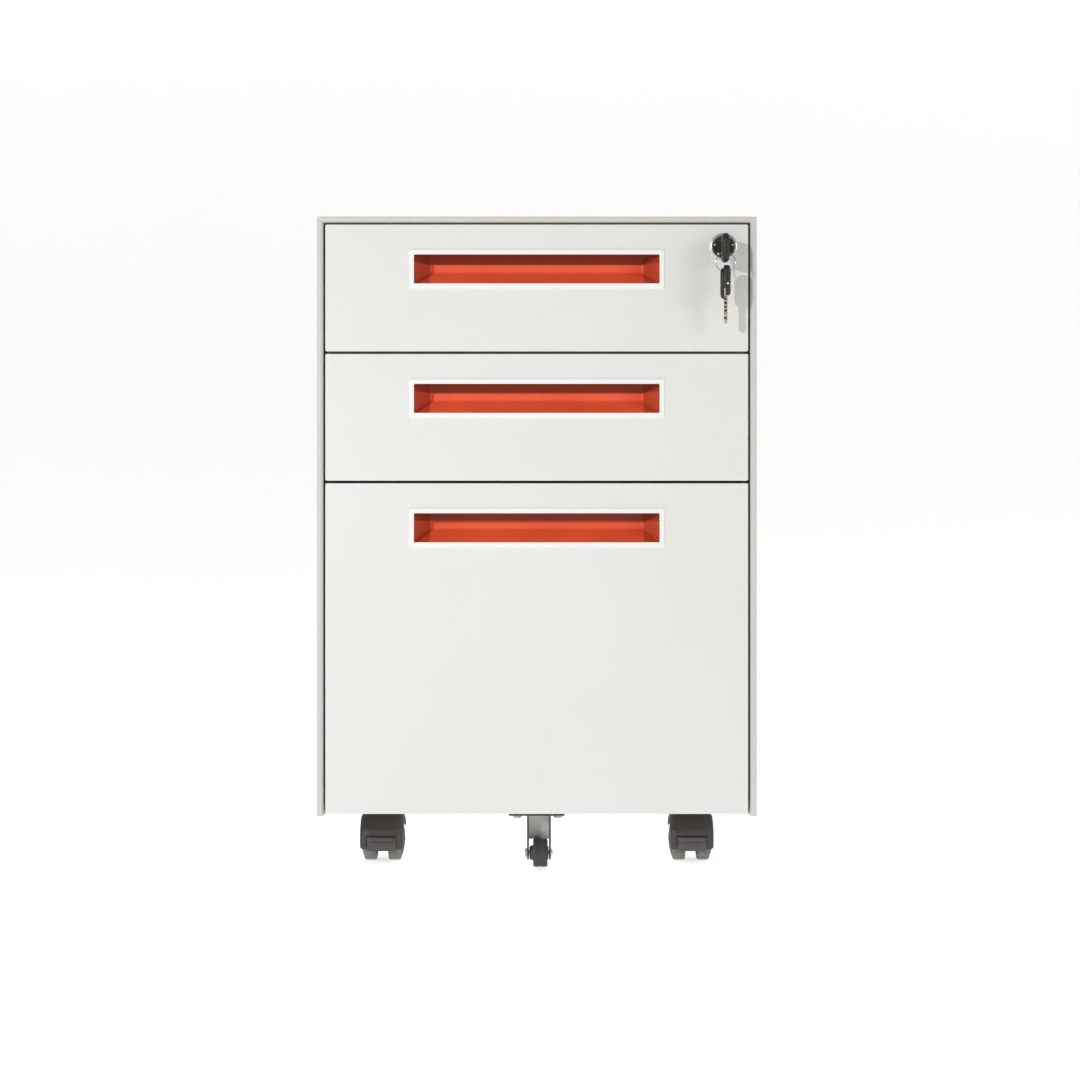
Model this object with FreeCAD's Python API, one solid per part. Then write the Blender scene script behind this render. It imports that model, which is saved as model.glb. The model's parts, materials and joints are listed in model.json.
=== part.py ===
import FreeCAD, Part

# Three-drawer mobile pedestal of folded sheet steel, with a gang lock, telescopic drawer slides,
# four twin-wheel casters and an anti-tip wheel under the file drawer.
# Millimetres. The drawer fronts face -Y, +Z is up, and z = 0 is the floor under the casters.
# The origin is at the middle of the bounding box, which the key in the lock makes deeper.

import math
import os

# overall size
WIDTH = 390.0
DEPTH = 500.0
HEIGHT = 580.0
KEY_REACH = 30.0
FRONT_Y = -(DEPTH - KEY_REACH) / 2
BACK_Y = FRONT_Y + DEPTH
HALF = WIDTH / 2
SHEET = 1.0

# carcass edges
BODY_BOTTOM = 48.3
SIDE_EDGE = 5.5
TOP_EDGE = 5.0
BEVEL = 1.8
RETURN_DEPTH = 16.0
BACK_RETURN = 12.0
BEND = 1.5

# base pan
PAN_BOTTOM = 54.0
PAN_SHEET = 1.2
PAN_FLANGE = 5.0

# drawers, from the top down: lowest and highest edge of each front
SEAM = 2.2
SMALL_FRONT = 112.5
FRONT_TOP = HEIGHT - 7.0
FRONT_HALF = 187.5
SECOND_TOP = FRONT_TOP - SMALL_FRONT - SEAM
THIRD_TOP = SECOND_TOP - SMALL_FRONT - SEAM
THIRD_BOTTOM = 50.3
FRONTS = {
    1: (FRONT_TOP - SMALL_FRONT, FRONT_TOP),
    2: (SECOND_TOP - SMALL_FRONT, SECOND_TOP),
    3: (THIRD_BOTTOM, THIRD_TOP),
}
FRONT_DEEP = 25.0
LINER_Y = FRONT_Y + FRONT_DEEP
BOX_HALF = 174.0
BOX_Y = LINER_Y + SHEET
BOX_LONG = 445.0
BOX_RISE = {1: 8.5, 2: 8.5, 3: 9.7}
BOX_TALL = {1: 70.0, 2: 70.0, 3: 200.0}
HEM = 8.0

# handles
GRIP_HALF = 108.9
GRIP_TALL = 25.8
GRIP_DROP = 26.7
RIM_WIDE = 4.6
RIM_PROUD = 1.2
CUP_DEEP = 22.0
CUP_WALL = 1.6
CUP_SLOPE_IN = 13.7
CUP_FLOOR_RISE = 12.0
CUP_FILLET = 2.2
GRIP_CORNER = 0.9
RIM_CORNER = 2.2
RIM_CHAMFER = 0.8
CUP_HEADROOM = 7.0

# telescopic slides
SLIDE_TALL = 36.0
SLIDE_LONG = 440.0
SLIDE_Y = FRONT_Y + 34.0
SLIDE_RISE = 24.0
BALL_GAP = 2.6
POST_DEEP = 7.0
POST_X = HALF - SHEET - POST_DEEP
POST_YS = (FRONT_Y + 66.0, FRONT_Y + 430.0)

# lock
LOCK_X = 165.5
LOCK_Z = 553.0
LOCK_RING_R = 12.0
PLUG_R = 7.42
CAM_RADIUS = 10.0
CAM_PIN_R = 1.5
BAR_TRAVEL = 2 * CAM_RADIUS * math.sin(math.radians(45))
BAR_X = 189.0
BAR_Y = FRONT_Y + 29.0
BAR_THICK = 3.0
BAR_WIDE = 14.0
STRIKER_RISE = 46.0
STRIKER_TALL = 10.0
TOOTH_TALL = 8.0
KEY_Y = FRONT_Y - 22.0
BOW_HALF = 3.0
BOW_BACK = FRONT_Y - 9.0
BOW_TOP = LOCK_Z + 9.2
BOW_LOW = LOCK_Z - 16.2
BOW_EASE = 2.0
BOW_HOLE_R = 3.3
BOW_HOLE_LOW = LOCK_Z - 9.8
BOW_HOLE_TOP = LOCK_Z + 2.8
BLADE_HALF = 3.7
RING_R = 8.6
RING_WIRE = 0.55
RING_TOP = BOW_HOLE_LOW + 2.0
RING_Z = RING_TOP - RING_R
SPARE_TOP = LOCK_Z - 19.0
SPARE_LONG = 29.5
SPARE_HALF = 7.0
SPARE_THICK = 3.0
SPARE_RIVET_DROP = 16.7
SPARE_BLADE_LOW = LOCK_Z - 69.5
SPARE_TURN = -10

# casters
WHEEL_R = 20.0
AXLE_Z = WHEEL_R
TRAIL = 16.0
CASTER_X = 141.0
CASTERS = {
    "front_left": (-CASTER_X, FRONT_Y + 85.0),
    "front_right": (CASTER_X, FRONT_Y + 85.0),
    "rear_left": (-CASTER_X, BACK_Y - 60.0),
    "rear_right": (CASTER_X, BACK_Y - 60.0),
}
STEM_R = 4.0
CASTER_AXLE_R = 2.5
RUNNING = 0.08
HOOD_R = 24.0
HOOD_INNER_R = 21.4
HOOD_HALF = 20.0
CHEEK_INNER = 13.6
CHEEK_START = -20
HOOD_START = {True: 10, False: -14}
HOOD_END = 150
BOLT_REACH = 14.0

# anti-tip wheel
TIP_WHEEL_R = 12.5
TIP_GAP = 1.5
TIP_X = 2.0
TIP_Y = FRONT_Y + 14.0
TIP_Z = TIP_WHEEL_R + TIP_GAP
TIP_TREAD_HALF = 6.6
TIP_TREAD_SHIFT = 1.2
TIP_HUB_HALF = 8.5
TIP_WEB_RISE = 11.5
TIP_HEAD_R = 4.6
TIP_HEAD_TALL = 3.0
FORK_HALF = 10.7
TIP_SCREW_XS = (-17.4, 19.0)

X_AXIS = FreeCAD.Vector(1, 0, 0)
Y_AXIS = FreeCAD.Vector(0, 1, 0)
Z_AXIS = FreeCAD.Vector(0, 0, 1)


def vec(x, y, z):
    return FreeCAD.Vector(x, y, z)


def block(low, high):
    """A box between two opposite corners."""
    size = [b - a for a, b in zip(low, high)]
    return Part.makeBox(size[0], size[1], size[2], vec(*low))


def prism(points, start, end, axis):
    """A polygon of (u, v) points extruded along X (points y, z), Y (points x, z) or Z (points x, y)."""
    place = {
        "x": lambda u, v: vec(start, u, v),
        "y": lambda u, v: vec(u, start, v),
        "z": lambda u, v: vec(u, v, start),
    }[axis]
    corners = [place(u, v) for u, v in points]
    face = Part.Face(Part.makePolygon(corners + [corners[0]]))
    along = {"x": X_AXIS, "y": Y_AXIS, "z": Z_AXIS}[axis]
    return face.extrude(along * (end - start))


def rod(radius, start, end, axis, at):
    """A cylinder along an axis, from start to end, through the (u, v) point of the other two axes."""
    base = {
        "x": vec(start, *at),
        "y": vec(at[0], start, at[1]),
        "z": vec(at[0], at[1], start),
    }[axis]
    along = {"x": X_AXIS, "y": Y_AXIS, "z": Z_AXIS}[axis]
    return Part.makeCylinder(radius, end - start, base, along)


def hexagon(across, start, end, axis, at):
    """A hexagonal bar along an axis."""
    radius = across / math.sqrt(3)
    turns = [math.radians(60 * k) for k in range(6)]
    points = [(at[0] + radius * math.cos(a), at[1] + radius * math.sin(a)) for a in turns]
    return prism(points, start, end, axis)


def union(shapes):
    """One solid from shapes that meet."""
    joined = shapes[0].fuse(shapes[1:])
    return joined.removeSplitter()


def mirrored(shape):
    """The left-hand twin of a right-hand shape."""
    return shape.mirror(vec(0, 0, 0), X_AXIS)


def pair(shape):
    """A right-hand shape and its left-hand twin."""
    return [shape, mirrored(shape)]


def rounded(shape, radius, wanted):
    """The shape with a fillet on each edge that wanted says yes to."""
    return shape.makeFillet(radius, [e for e in shape.Edges if wanted(e)])


def runs_along(edge, axis):
    """Is this a straight edge along the axis?"""
    if not isinstance(edge.Curve, (Part.Line, Part.LineSegment)):
        return False
    ends = edge.Vertexes[1].Point - edge.Vertexes[0].Point
    return abs(abs(ends.normalize().dot(axis)) - 1) < 1e-6


def lies_on(edge, axis, value):
    """Does the whole edge lie in the plane where that coordinate has this value?"""
    box = edge.BoundBox
    low = {"x": box.XMin, "y": box.YMin, "z": box.ZMin}[axis]
    high = {"x": box.XMax, "y": box.YMax, "z": box.ZMax}[axis]
    return abs(low - value) < 1e-6 and abs(high - value) < 1e-6


def save(name, shapes):
    """Write one node: a solid, or a group of separate solids."""
    group = shapes if isinstance(shapes, list) else [shapes]
    node = group[0] if len(group) == 1 else Part.makeCompound(group)
    node.exportStep("parts/" + name + ".step")


# ---- carcass ----

def side_panel():
    """The right-hand side: outer sheet, front return with its bevel, back return and bottom return."""
    inner = HALF - SIDE_EDGE
    lip = inner + SHEET
    skin = HALF - SHEET
    outline = [
        (HALF, BACK_Y),
        (HALF, FRONT_Y + SHEET),
        (HALF - SHEET, FRONT_Y),
        (inner + BEVEL, FRONT_Y),
        (inner, FRONT_Y + BEVEL),
        (inner, FRONT_Y + RETURN_DEPTH),
        (lip, FRONT_Y + RETURN_DEPTH),
        (lip, FRONT_Y + BEVEL + SHEET / 2),
        (lip + BEVEL / 2, FRONT_Y + SHEET),
        (skin, FRONT_Y + SHEET),
        (skin, BACK_Y - SHEET),
        (HALF - BACK_RETURN, BACK_Y - SHEET),
        (HALF - BACK_RETURN, BACK_Y),
    ]
    wall = prism(outline, BODY_BOTTOM, HEIGHT, "z")
    foot_low = (HALF - BACK_RETURN - SHEET, FRONT_Y + RETURN_DEPTH + 2, BODY_BOTTOM)
    foot = block(foot_low, (skin, BACK_Y - SHEET, BODY_BOTTOM + SHEET))
    return union([wall, foot]).cut(mitre(HEIGHT + 1))


def mitre(top):
    """The corner that the top panel's lip takes out of the side panel's bevel."""
    inner = HALF - SIDE_EDGE
    edge = inner + BEVEL
    low = HEIGHT - TOP_EDGE
    corners = [(inner - 1, low - 1), (edge, low + BEVEL), (edge, top), (inner - 1, top)]
    return prism(corners, FRONT_Y - 1, FRONT_Y + RETURN_DEPTH + 1, "y")


def top_panel():
    """The top sheet with its front lip, mitred into the sides, and its back return."""
    low = HEIGHT - TOP_EDGE
    edge = HALF - SIDE_EDGE + BEVEL
    lip_outline = [
        (FRONT_Y, HEIGHT),
        (FRONT_Y, low + BEVEL),
        (FRONT_Y + BEVEL, low),
        (FRONT_Y + RETURN_DEPTH, low),
        (FRONT_Y + RETURN_DEPTH, low + SHEET),
        (FRONT_Y + BEVEL + SHEET / 2, low + SHEET),
        (FRONT_Y + SHEET, low + BEVEL + SHEET / 2),
        (FRONT_Y + SHEET, HEIGHT - SHEET),
        (FRONT_Y + RETURN_DEPTH, HEIGHT - SHEET),
        (FRONT_Y + RETURN_DEPTH, HEIGHT),
    ]
    lip = prism(lip_outline, -edge, edge, "x")
    lip = rounded(lip, BEND, lambda e: lies_on(e, "y", FRONT_Y) and lies_on(e, "z", HEIGHT))
    inner = HALF - SIDE_EDGE
    trim = prism(
        [(inner, low), (edge, low + BEVEL), (edge + 1, low + BEVEL), (edge + 1, low - 1), (inner, low - 1)],
        FRONT_Y - 1,
        FRONT_Y + RETURN_DEPTH + 1,
        "y",
    )
    for corner in pair(trim):
        lip = lip.cut(corner)
    skin = HALF - SHEET
    sheet = block((-skin, FRONT_Y + BEND, HEIGHT - SHEET), (skin, BACK_Y - SHEET, HEIGHT))
    back = HALF - BACK_RETURN
    rear = block((-back, BACK_Y - SHEET, HEIGHT - 13), (back, BACK_Y, HEIGHT))
    return union([lip, sheet, rear])


def back_panel():
    """A flat sheet inside the back returns."""
    skin = HALF - SHEET
    low = (-skin, BACK_Y - 2 * SHEET, BODY_BOTTOM + SHEET)
    return block(low, (skin, BACK_Y - SHEET, HEIGHT - SHEET))


def base_pan():
    """A tray with four upturned flanges, drilled for the caster bolts."""
    skin = HALF - SHEET
    front = FRONT_Y + 30.0
    back = BACK_Y - 2 * SHEET
    outer = block((-skin, front, PAN_BOTTOM), (skin, back, PAN_BOTTOM + PAN_FLANGE))
    room_low = (-skin + PAN_SHEET, front + PAN_SHEET, PAN_BOTTOM + PAN_SHEET)
    room = block(room_low, (skin - PAN_SHEET, back - PAN_SHEET, PAN_BOTTOM + PAN_FLANGE + 1))
    return outer.cut(room).cut(Part.makeCompound(caster_bolts()))


def slide_post(y):
    """One right-hand hat-section upright."""
    skin = HALF - SHEET
    outline = [
        (skin, y - 21),
        (skin, y - 13 + SHEET),
        (POST_X + SHEET, y - 13 + SHEET),
        (POST_X + SHEET, y + 13 - SHEET),
        (skin, y + 13 - SHEET),
        (skin, y + 21),
        (skin - SHEET, y + 21),
        (skin - SHEET, y + 13),
        (POST_X, y + 13),
        (POST_X, y - 13),
        (skin - SHEET, y - 13),
        (skin - SHEET, y - 21),
    ]
    post = prism(outline, PAN_BOTTOM + PAN_FLANGE + 0.5, HEIGHT - TOP_EDGE - 1, "z")
    return post.cut(Part.makeCompound(slide_screws_right()))


def slide_centre(number):
    """Height of a drawer's slides."""
    return FRONTS[number][0] + BOX_RISE[number] + SLIDE_RISE


def channel(web_x, web_thick, tip_x, height, thick, z, length, y):
    """A C-section slide member: web at web_x, flanges out to tip_x, centred on height z."""
    low_x = min(web_x, tip_x)
    high_x = max(web_x + web_thick, tip_x)
    body = block((low_x, y, z - height / 2), (high_x, y + length, z + height / 2))
    if tip_x < web_x:
        hollow = (low_x - 1, web_x)
    else:
        hollow = (web_x + web_thick, high_x + 1)
    room_low = (hollow[0], y - 1, z - height / 2 + thick)
    return body.cut(block(room_low, (hollow[1], y + length + 1, z + height / 2 - thick)))


def fixed_slide(number):
    """The outer member of a right-hand slide."""
    z = slide_centre(number)
    member = channel(POST_X - 1.2, 1.2, POST_X - 10, SLIDE_TALL, 1.2, z, SLIDE_LONG, SLIDE_Y)
    return member.cut(Part.makeCompound(slide_screws_right()))


def slide_screws_right():
    """Pan-head screws that hold the right-hand outer members to the posts."""
    screws = []
    for number in FRONTS:
        for y in POST_YS:
            at = (y, slide_centre(number))
            head = rod(3.4, POST_X - 2.3, POST_X - 1.2, "x", at)
            shank = rod(2.0, POST_X - 1.2, POST_X + SHEET + 3, "x", at)
            screws.append(union([head, shank]))
    return screws


def lock_bar_guide(z):
    """A clip on the right-hand side panel that keeps the lock bar upright."""
    clear = 0.5
    inner_x = BAR_X - clear - 1.1
    front = BAR_Y - clear - 1.4
    back = BAR_Y + BAR_WIDE + clear + 1.4
    skin = HALF - SHEET
    clip = block((inner_x, front, z), (skin, back, z + 12))
    room = block((BAR_X - clear, front + 1.4, z - 1), (skin + 1, back - 1.4, z + 13))
    return clip.cut(room)


# ---- gang lock ----

def lock_bar():
    """The bar, its slotted tab for the cam pin and one tooth for each drawer."""
    top = LOCK_Z + CAM_RADIUS * math.sin(math.radians(45))
    strip = block((BAR_X, BAR_Y, 100), (BAR_X + BAR_THICK, BAR_Y + BAR_WIDE, top + 6))
    tab_low = (LOCK_X + 2.5, BAR_Y, top - 4)
    tab = block(tab_low, (BAR_X + BAR_THICK, BAR_Y + 2, top + 4))
    shapes = [strip, tab]
    for number in FRONTS:
        z = FRONTS[number][0] + BOX_RISE[number] + STRIKER_RISE + STRIKER_TALL + 2
        tooth_low = (BAR_X - 8, BAR_Y + 10, z)
        shapes.append(block(tooth_low, (BAR_X + BAR_THICK, BAR_Y + 13, z + TOOTH_TALL)))
    bar = union(shapes)
    reach = CAM_PIN_R + 0.8
    near = LOCK_X + CAM_RADIUS * math.cos(math.radians(45)) - reach
    slot_low = (near, BAR_Y - 1, top - CAM_PIN_R - 0.5)
    slot = block(slot_low, (LOCK_X + CAM_RADIUS + reach, BAR_Y + 3, top + CAM_PIN_R + 0.5))
    return bar.cut(slot)


def striker(number):
    """The tab on a drawer box that a tooth of the lock bar stands in front of."""
    z = FRONTS[number][0] + BOX_RISE[number] + STRIKER_RISE
    low = (BOX_HALF - SHEET, BAR_Y + 14, z)
    return block(low, (BAR_X - 5, BAR_Y + 16, z + STRIKER_TALL))


def lock_housing():
    """Chrome barrel and face ring, with a stepped bore for the plug."""
    at = (LOCK_X, LOCK_Z)
    ring = rod(LOCK_RING_R, FRONT_Y - 2.5, FRONT_Y, "y", at)
    ring = ring.makeChamfer(0.8, [e for e in ring.Edges if lies_on(e, "y", FRONT_Y - 2.5)])
    barrel = rod(10.5, FRONT_Y, FRONT_Y + 19.5, "y", at)
    mouth = rod(9.8, FRONT_Y - 3, FRONT_Y + 1, "y", at)
    bore = rod(PLUG_R + RUNNING, FRONT_Y, FRONT_Y + 20, "y", at)
    return union([ring, barrel]).cut(mouth).cut(bore)


def lock_nut():
    """The flat nut that clamps the housing behind the drawer's front sheet."""
    at = (LOCK_X, LOCK_Z)
    nut = hexagon(26, FRONT_Y + SHEET, FRONT_Y + 4.5, "y", at)
    return nut.cut(rod(10.5, FRONT_Y, FRONT_Y + 5, "y", at))


def lock_plug():
    """The turning plug with its broad face and its keyway."""
    at = (LOCK_X, LOCK_Z)
    face = rod(9.5, FRONT_Y - 1.8, FRONT_Y + 0.8, "y", at)
    body = rod(PLUG_R, FRONT_Y, FRONT_Y + 20, "y", at)
    keyway = block((LOCK_X - 1.25, FRONT_Y - 3, LOCK_Z - 4), (LOCK_X + 1.25, FRONT_Y + 17, LOCK_Z + 4))
    return union([face, body]).cut(keyway)


def lock_cam():
    """The cam plate, with the pin that carries the bar."""
    arm = block((-6.5, 0, -5), (CAM_RADIUS + 3.2, 2, 5))
    arm = rounded(arm, 3.0, lambda e: runs_along(e, Y_AXIS))
    pin = rod(CAM_PIN_R, 1, 13, "y", (CAM_RADIUS, 0))
    cam = union([arm, pin])
    cam.rotate(vec(0, 0, 0), Y_AXIS, -45)
    cam.translate(vec(LOCK_X, FRONT_Y + 20, LOCK_Z))
    return cam


def key():
    """The key in the lock: steel blade and black moulded bow with a long hole."""
    blade_low = (LOCK_X - 1, BOW_BACK, LOCK_Z - BLADE_HALF)
    blade = block(blade_low, (LOCK_X + 1, FRONT_Y + 16, LOCK_Z + BLADE_HALF))
    bow = block((LOCK_X - BOW_HALF, FRONT_Y - KEY_REACH, BOW_LOW), (LOCK_X + BOW_HALF, BOW_BACK, BOW_TOP))
    bow = rounded(bow, 8.0, lambda e: runs_along(e, X_AXIS))
    bow = bow.makeFillet(BOW_EASE, bow.Edges)
    low = BOW_HOLE_LOW + BOW_HOLE_R
    high = BOW_HOLE_TOP - BOW_HOLE_R
    ends = (LOCK_X - 4, LOCK_X + 4)
    middle = block((ends[0], KEY_Y - BOW_HOLE_R, low), (ends[1], KEY_Y + BOW_HOLE_R, high))
    hole = union([
        rod(BOW_HOLE_R, ends[0], ends[1], "x", (KEY_Y, low)),
        rod(BOW_HOLE_R, ends[0], ends[1], "x", (KEY_Y, high)),
        middle,
    ])
    return [blade, bow.cut(hole)]


def key_ring():
    """A flat ring of two turns of wire, upright, through the bow."""
    at = (LOCK_X, RING_Z)
    outer = rod(RING_R + RING_WIRE, KEY_Y - 1.0, KEY_Y + 1.0, "y", at)
    ring = outer.cut(rod(RING_R - RING_WIRE, KEY_Y - 2, KEY_Y + 2, "y", at))
    return ring.makeFillet(0.4, ring.Edges)


def spare_key():
    """The folding spare key: two scales, a rivet and the blade between them."""
    ring_low = RING_Z - RING_R
    inner = 1.1
    outer = inner + SPARE_THICK
    scale = block((inner, -SPARE_HALF, SPARE_TOP - SPARE_LONG), (outer, SPARE_HALF, SPARE_TOP))
    scale = rounded(scale, 6.0, lambda e: runs_along(e, X_AXIS))
    scale = rounded(scale, 1.0, lambda e: lies_on(e, "x", outer))
    hole = rod(3.8, -5, 5, "x", (0, ring_low - 1.6))
    rivet = rod(1.5, -4.4, 4.4, "x", (1.5, SPARE_TOP - SPARE_RIVET_DROP))
    blade = block((-1, -2, SPARE_BLADE_LOW), (1, 5, SPARE_TOP - 13))
    blade = rounded(blade, 1.5, lambda e: runs_along(e, X_AXIS))
    pieces = [s.cut(hole).cut(rivet) for s in pair(scale)]
    pieces += [blade.cut(rivet), rivet]
    for piece in pieces:
        piece.rotate(vec(0, 0, 0), Z_AXIS, SPARE_TURN)
        piece.translate(vec(LOCK_X, KEY_Y, 0))
    return pieces


# ---- drawers ----

def grip_heights(number):
    """Lowest and highest edge of a drawer's handle opening."""
    top = FRONTS[number][1] - GRIP_DROP
    return top - GRIP_TALL, top


def drawer_front(number):
    """A folded front: sheet, four returns, a raised rim and its opening."""
    low, high = FRONTS[number]
    outer = block((-FRONT_HALF, FRONT_Y, low), (FRONT_HALF, LINER_Y, high))
    outer = rounded(outer, BEND, lambda e: runs_along(e, Y_AXIS))
    outer = outer.makeFillet(0.9, [e for e in outer.Edges if lies_on(e, "y", FRONT_Y)])
    room_low = (-FRONT_HALF + SHEET, FRONT_Y + SHEET, low + SHEET)
    front = outer.cut(block(room_low, (FRONT_HALF - SHEET, LINER_Y + 1, high - SHEET)))
    bottom, top = grip_heights(number)
    rim_low = (-GRIP_HALF - RIM_WIDE, FRONT_Y - RIM_PROUD, bottom - RIM_WIDE)
    rim = block(rim_low, (GRIP_HALF + RIM_WIDE, FRONT_Y + SHEET, top + RIM_WIDE))
    rim = rounded(rim, RIM_CORNER, lambda e: runs_along(e, Y_AXIS))
    rim = rim.makeChamfer(RIM_CHAMFER, [e for e in rim.Edges if lies_on(e, "y", FRONT_Y - RIM_PROUD)])
    opening = block((-GRIP_HALF, FRONT_Y - 3, bottom), (GRIP_HALF, FRONT_Y + 3, top))
    opening = rounded(opening, GRIP_CORNER, lambda e: runs_along(e, Y_AXIS))
    front = union([front, rim]).cut(opening)
    if number == 1:
        front = front.cut(rod(10.5, FRONT_Y - 1, FRONT_Y + 2, "y", (LOCK_X, LOCK_Z)))
    return front


def drawer_liner(number):
    """The sheet that closes the back of a front, with a window for the cam pin in the top drawer."""
    low, high = FRONTS[number]
    inset = 1.5
    corner = (-FRONT_HALF + inset, LINER_Y, low + inset)
    liner = block(corner, (FRONT_HALF - inset, LINER_Y + SHEET, high - inset))
    if number == 1:
        side = CAM_RADIUS + CAM_PIN_R + 1
        window = block((LOCK_X + 4.5, LINER_Y - 1, LOCK_Z - side), (LOCK_X + side, BOX_Y + 1, LOCK_Z + side))
        liner = liner.cut(window)
    return liner


def drawer_box(number):
    """A welded tray: bottom, two hemmed sides, front, back and the lock striker."""
    low = FRONTS[number][0] + BOX_RISE[number]
    high = low + BOX_TALL[number]
    back = BOX_Y + BOX_LONG
    outer = block((-BOX_HALF, BOX_Y, low), (BOX_HALF, back, high))
    room_low = (-BOX_HALF + SHEET, BOX_Y + SHEET, low + SHEET)
    room = block(room_low, (BOX_HALF - SHEET, back - SHEET, high + 1))
    tray = outer.cut(room)
    hem = block((BOX_HALF - 2.5 * SHEET, BOX_Y + SHEET, high - HEM), (BOX_HALF - SHEET, back - SHEET, high))
    return union([tray] + pair(hem) + [striker(number)])


def handle_cup(number):
    """The finger recess: end walls and floor slope in to a back wall that rises behind the front."""
    bottom, top = grip_heights(number)
    start = FRONT_Y + SHEET
    lip = FRONT_Y + 2.6
    back = FRONT_Y + CUP_DEEP
    inside = [
        (start - 1, bottom),
        (lip, bottom),
        (back, bottom + CUP_FLOOR_RISE),
        (back, top + CUP_HEADROOM),
        (start + 1.4, top + CUP_HEADROOM),
        (start + 1.4, top),
        (start - 1, top),
    ]
    outside = [
        (start, bottom - CUP_WALL),
        (lip + 0.4, bottom - CUP_WALL),
        (back + CUP_WALL, bottom + CUP_FLOOR_RISE - 1),
        (back + CUP_WALL, top + CUP_HEADROOM + CUP_WALL),
        (start, top + CUP_HEADROOM + CUP_WALL),
    ]
    hollow = prism(inside, -GRIP_HALF, GRIP_HALF, "x").common(cup_plan(0, bottom, top))
    hollow = rounded(hollow, CUP_FILLET, lambda e: touches_back(e, back))
    wide = GRIP_HALF + CUP_WALL
    shell = prism(outside, -wide, wide, "x").common(cup_plan(CUP_WALL, bottom, top))
    flange_low = (-wide - 3, start, bottom - 5)
    flange = block(flange_low, (wide + 3, start + 1.4, top + CUP_HEADROOM + CUP_WALL))
    return union([shell, flange]).cut(hollow)


def cup_plan(wall, bottom, top):
    """The recess seen from above: a wedge that narrows towards its back wall."""
    wide = GRIP_HALF + wall
    narrow = GRIP_HALF - CUP_SLOPE_IN + wall
    lip = FRONT_Y + 2.6
    back = FRONT_Y + CUP_DEEP + wall
    outline = [
        (-wide, FRONT_Y - 1), (wide, FRONT_Y - 1), (wide, lip),
        (narrow, back), (-narrow, back), (-wide, lip),
    ]
    return prism(outline, bottom - 20, top + 20, "z")


def touches_back(edge, back):
    """Is this one of the edges of the recess's back wall?"""
    return lies_on(edge, "y", back)


def slide_mid(number):
    """The intermediate member of a right-hand slide."""
    height = SLIDE_TALL - 2 * 1.2 - 2 * BALL_GAP
    z = slide_centre(number)
    return channel(POST_X - 4, SHEET, POST_X - 9.5, height, SHEET, z, SLIDE_LONG - 10, SLIDE_Y)


def drawer_slide(number):
    """The inner member of a right-hand slide, on the side of the box."""
    height = SLIDE_TALL - 2 * 1.2 - 4 * BALL_GAP - 2 * SHEET
    z = slide_centre(number)
    return channel(BOX_HALF, 1.2, BOX_HALF + 7.5, height, SHEET, z, SLIDE_LONG, SLIDE_Y)


def hanging_rail():
    """The right-hand rail that suspension files hang from."""
    top = FRONTS[3][0] + BOX_RISE[3] + BOX_TALL[3]
    y0 = BOX_Y + 1.5
    y1 = BOX_Y + BOX_LONG - 1.5
    shelf = block((BOX_HALF - 11, y0, top), (BOX_HALF, y1, top + 1.5))
    rail = block((BOX_HALF - 11, y0, top), (BOX_HALF - 9.5, y1, top + 12))
    return union([shelf, rail])


# ---- anti-tip wheel ----

def anti_tip_bracket():
    """Screwed plate, fork with a rear web, drilled for the bolt."""
    top = THIRD_BOTTOM
    plate = block((-24.8, FRONT_Y + 2, top - 2), (24.8, FRONT_Y + 24, top))
    legs = []
    for side in (-FORK_HALF, FORK_HALF - 1.8):
        x = TIP_X + side
        leg = prism(
            [
                (TIP_Y - 9, top - 2), (TIP_Y - 6.5, TIP_Z), (TIP_Y - 6.5, TIP_Z - 6),
                (TIP_Y + 6.5, TIP_Z - 6), (TIP_Y + 6.5, TIP_Z), (TIP_Y + 9, top - 2),
            ],
            x, x + 1.8, "x",
        )
        leg = rounded(leg, 4.0, lambda e: runs_along(e, X_AXIS) and lies_on(e, "z", TIP_Z - 6))
        legs.append(leg)
    web_low = (TIP_X - FORK_HALF, TIP_Y + 6.4, TIP_Z + TIP_WEB_RISE)
    web = block(web_low, (TIP_X + FORK_HALF, TIP_Y + 8.0, top - 2))
    bracket = union([plate] + legs + [web])
    bracket = bracket.cut(rod(2.5, -40, 40, "x", (TIP_Y, TIP_Z)))
    for x in TIP_SCREW_XS:
        bracket = bracket.cut(rod(2.0, top - 3, top + 1, "z", (x, FRONT_Y + 13)))
    return bracket


def anti_tip_screws():
    """Two pan-head screws up into the drawer's front."""
    screws = []
    for x in TIP_SCREW_XS:
        at = (x, FRONT_Y + 13)
        under = THIRD_BOTTOM - 2 - TIP_HEAD_TALL
        head = rod(TIP_HEAD_R, under, THIRD_BOTTOM - 2, "z", at)
        head = head.makeFillet(1.6, [e for e in head.Edges if lies_on(e, "z", under)])
        shank = rod(2.0, THIRD_BOTTOM - 2, THIRD_BOTTOM, "z", at)
        screws.append(union([head, shank]))
    return screws


def anti_tip_bolt():
    """The bolt that the wheel turns on, and its nut."""
    at = (TIP_Y, TIP_Z)
    reach = TIP_X + FORK_HALF
    shank = rod(2.5, TIP_X - 12.9, reach, "x", at)
    head = rod(3.8, reach, reach + 2.2, "x", at)
    nut = hexagon(7, TIP_X - FORK_HALF - 2.0, TIP_X - FORK_HALF, "x", at).cut(shank)
    return [union([shank, head]), nut]


def anti_tip_wheel():
    """A narrow wheel with hub bosses."""
    at = (TIP_Y, TIP_Z)
    middle = TIP_X + TIP_TREAD_SHIFT
    tread = rod(TIP_WHEEL_R, middle - TIP_TREAD_HALF, middle + TIP_TREAD_HALF, "x", at)
    tread = tread.makeFillet(2.0, [e for e in tread.Edges if lies_on_end(e, middle, TIP_TREAD_HALF)])
    hub = rod(6.0, TIP_X - TIP_HUB_HALF, TIP_X + TIP_HUB_HALF, "x", at)
    return union([tread, hub]).cut(rod(2.5 + RUNNING, TIP_X - 20, TIP_X + 20, "x", at))


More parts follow.
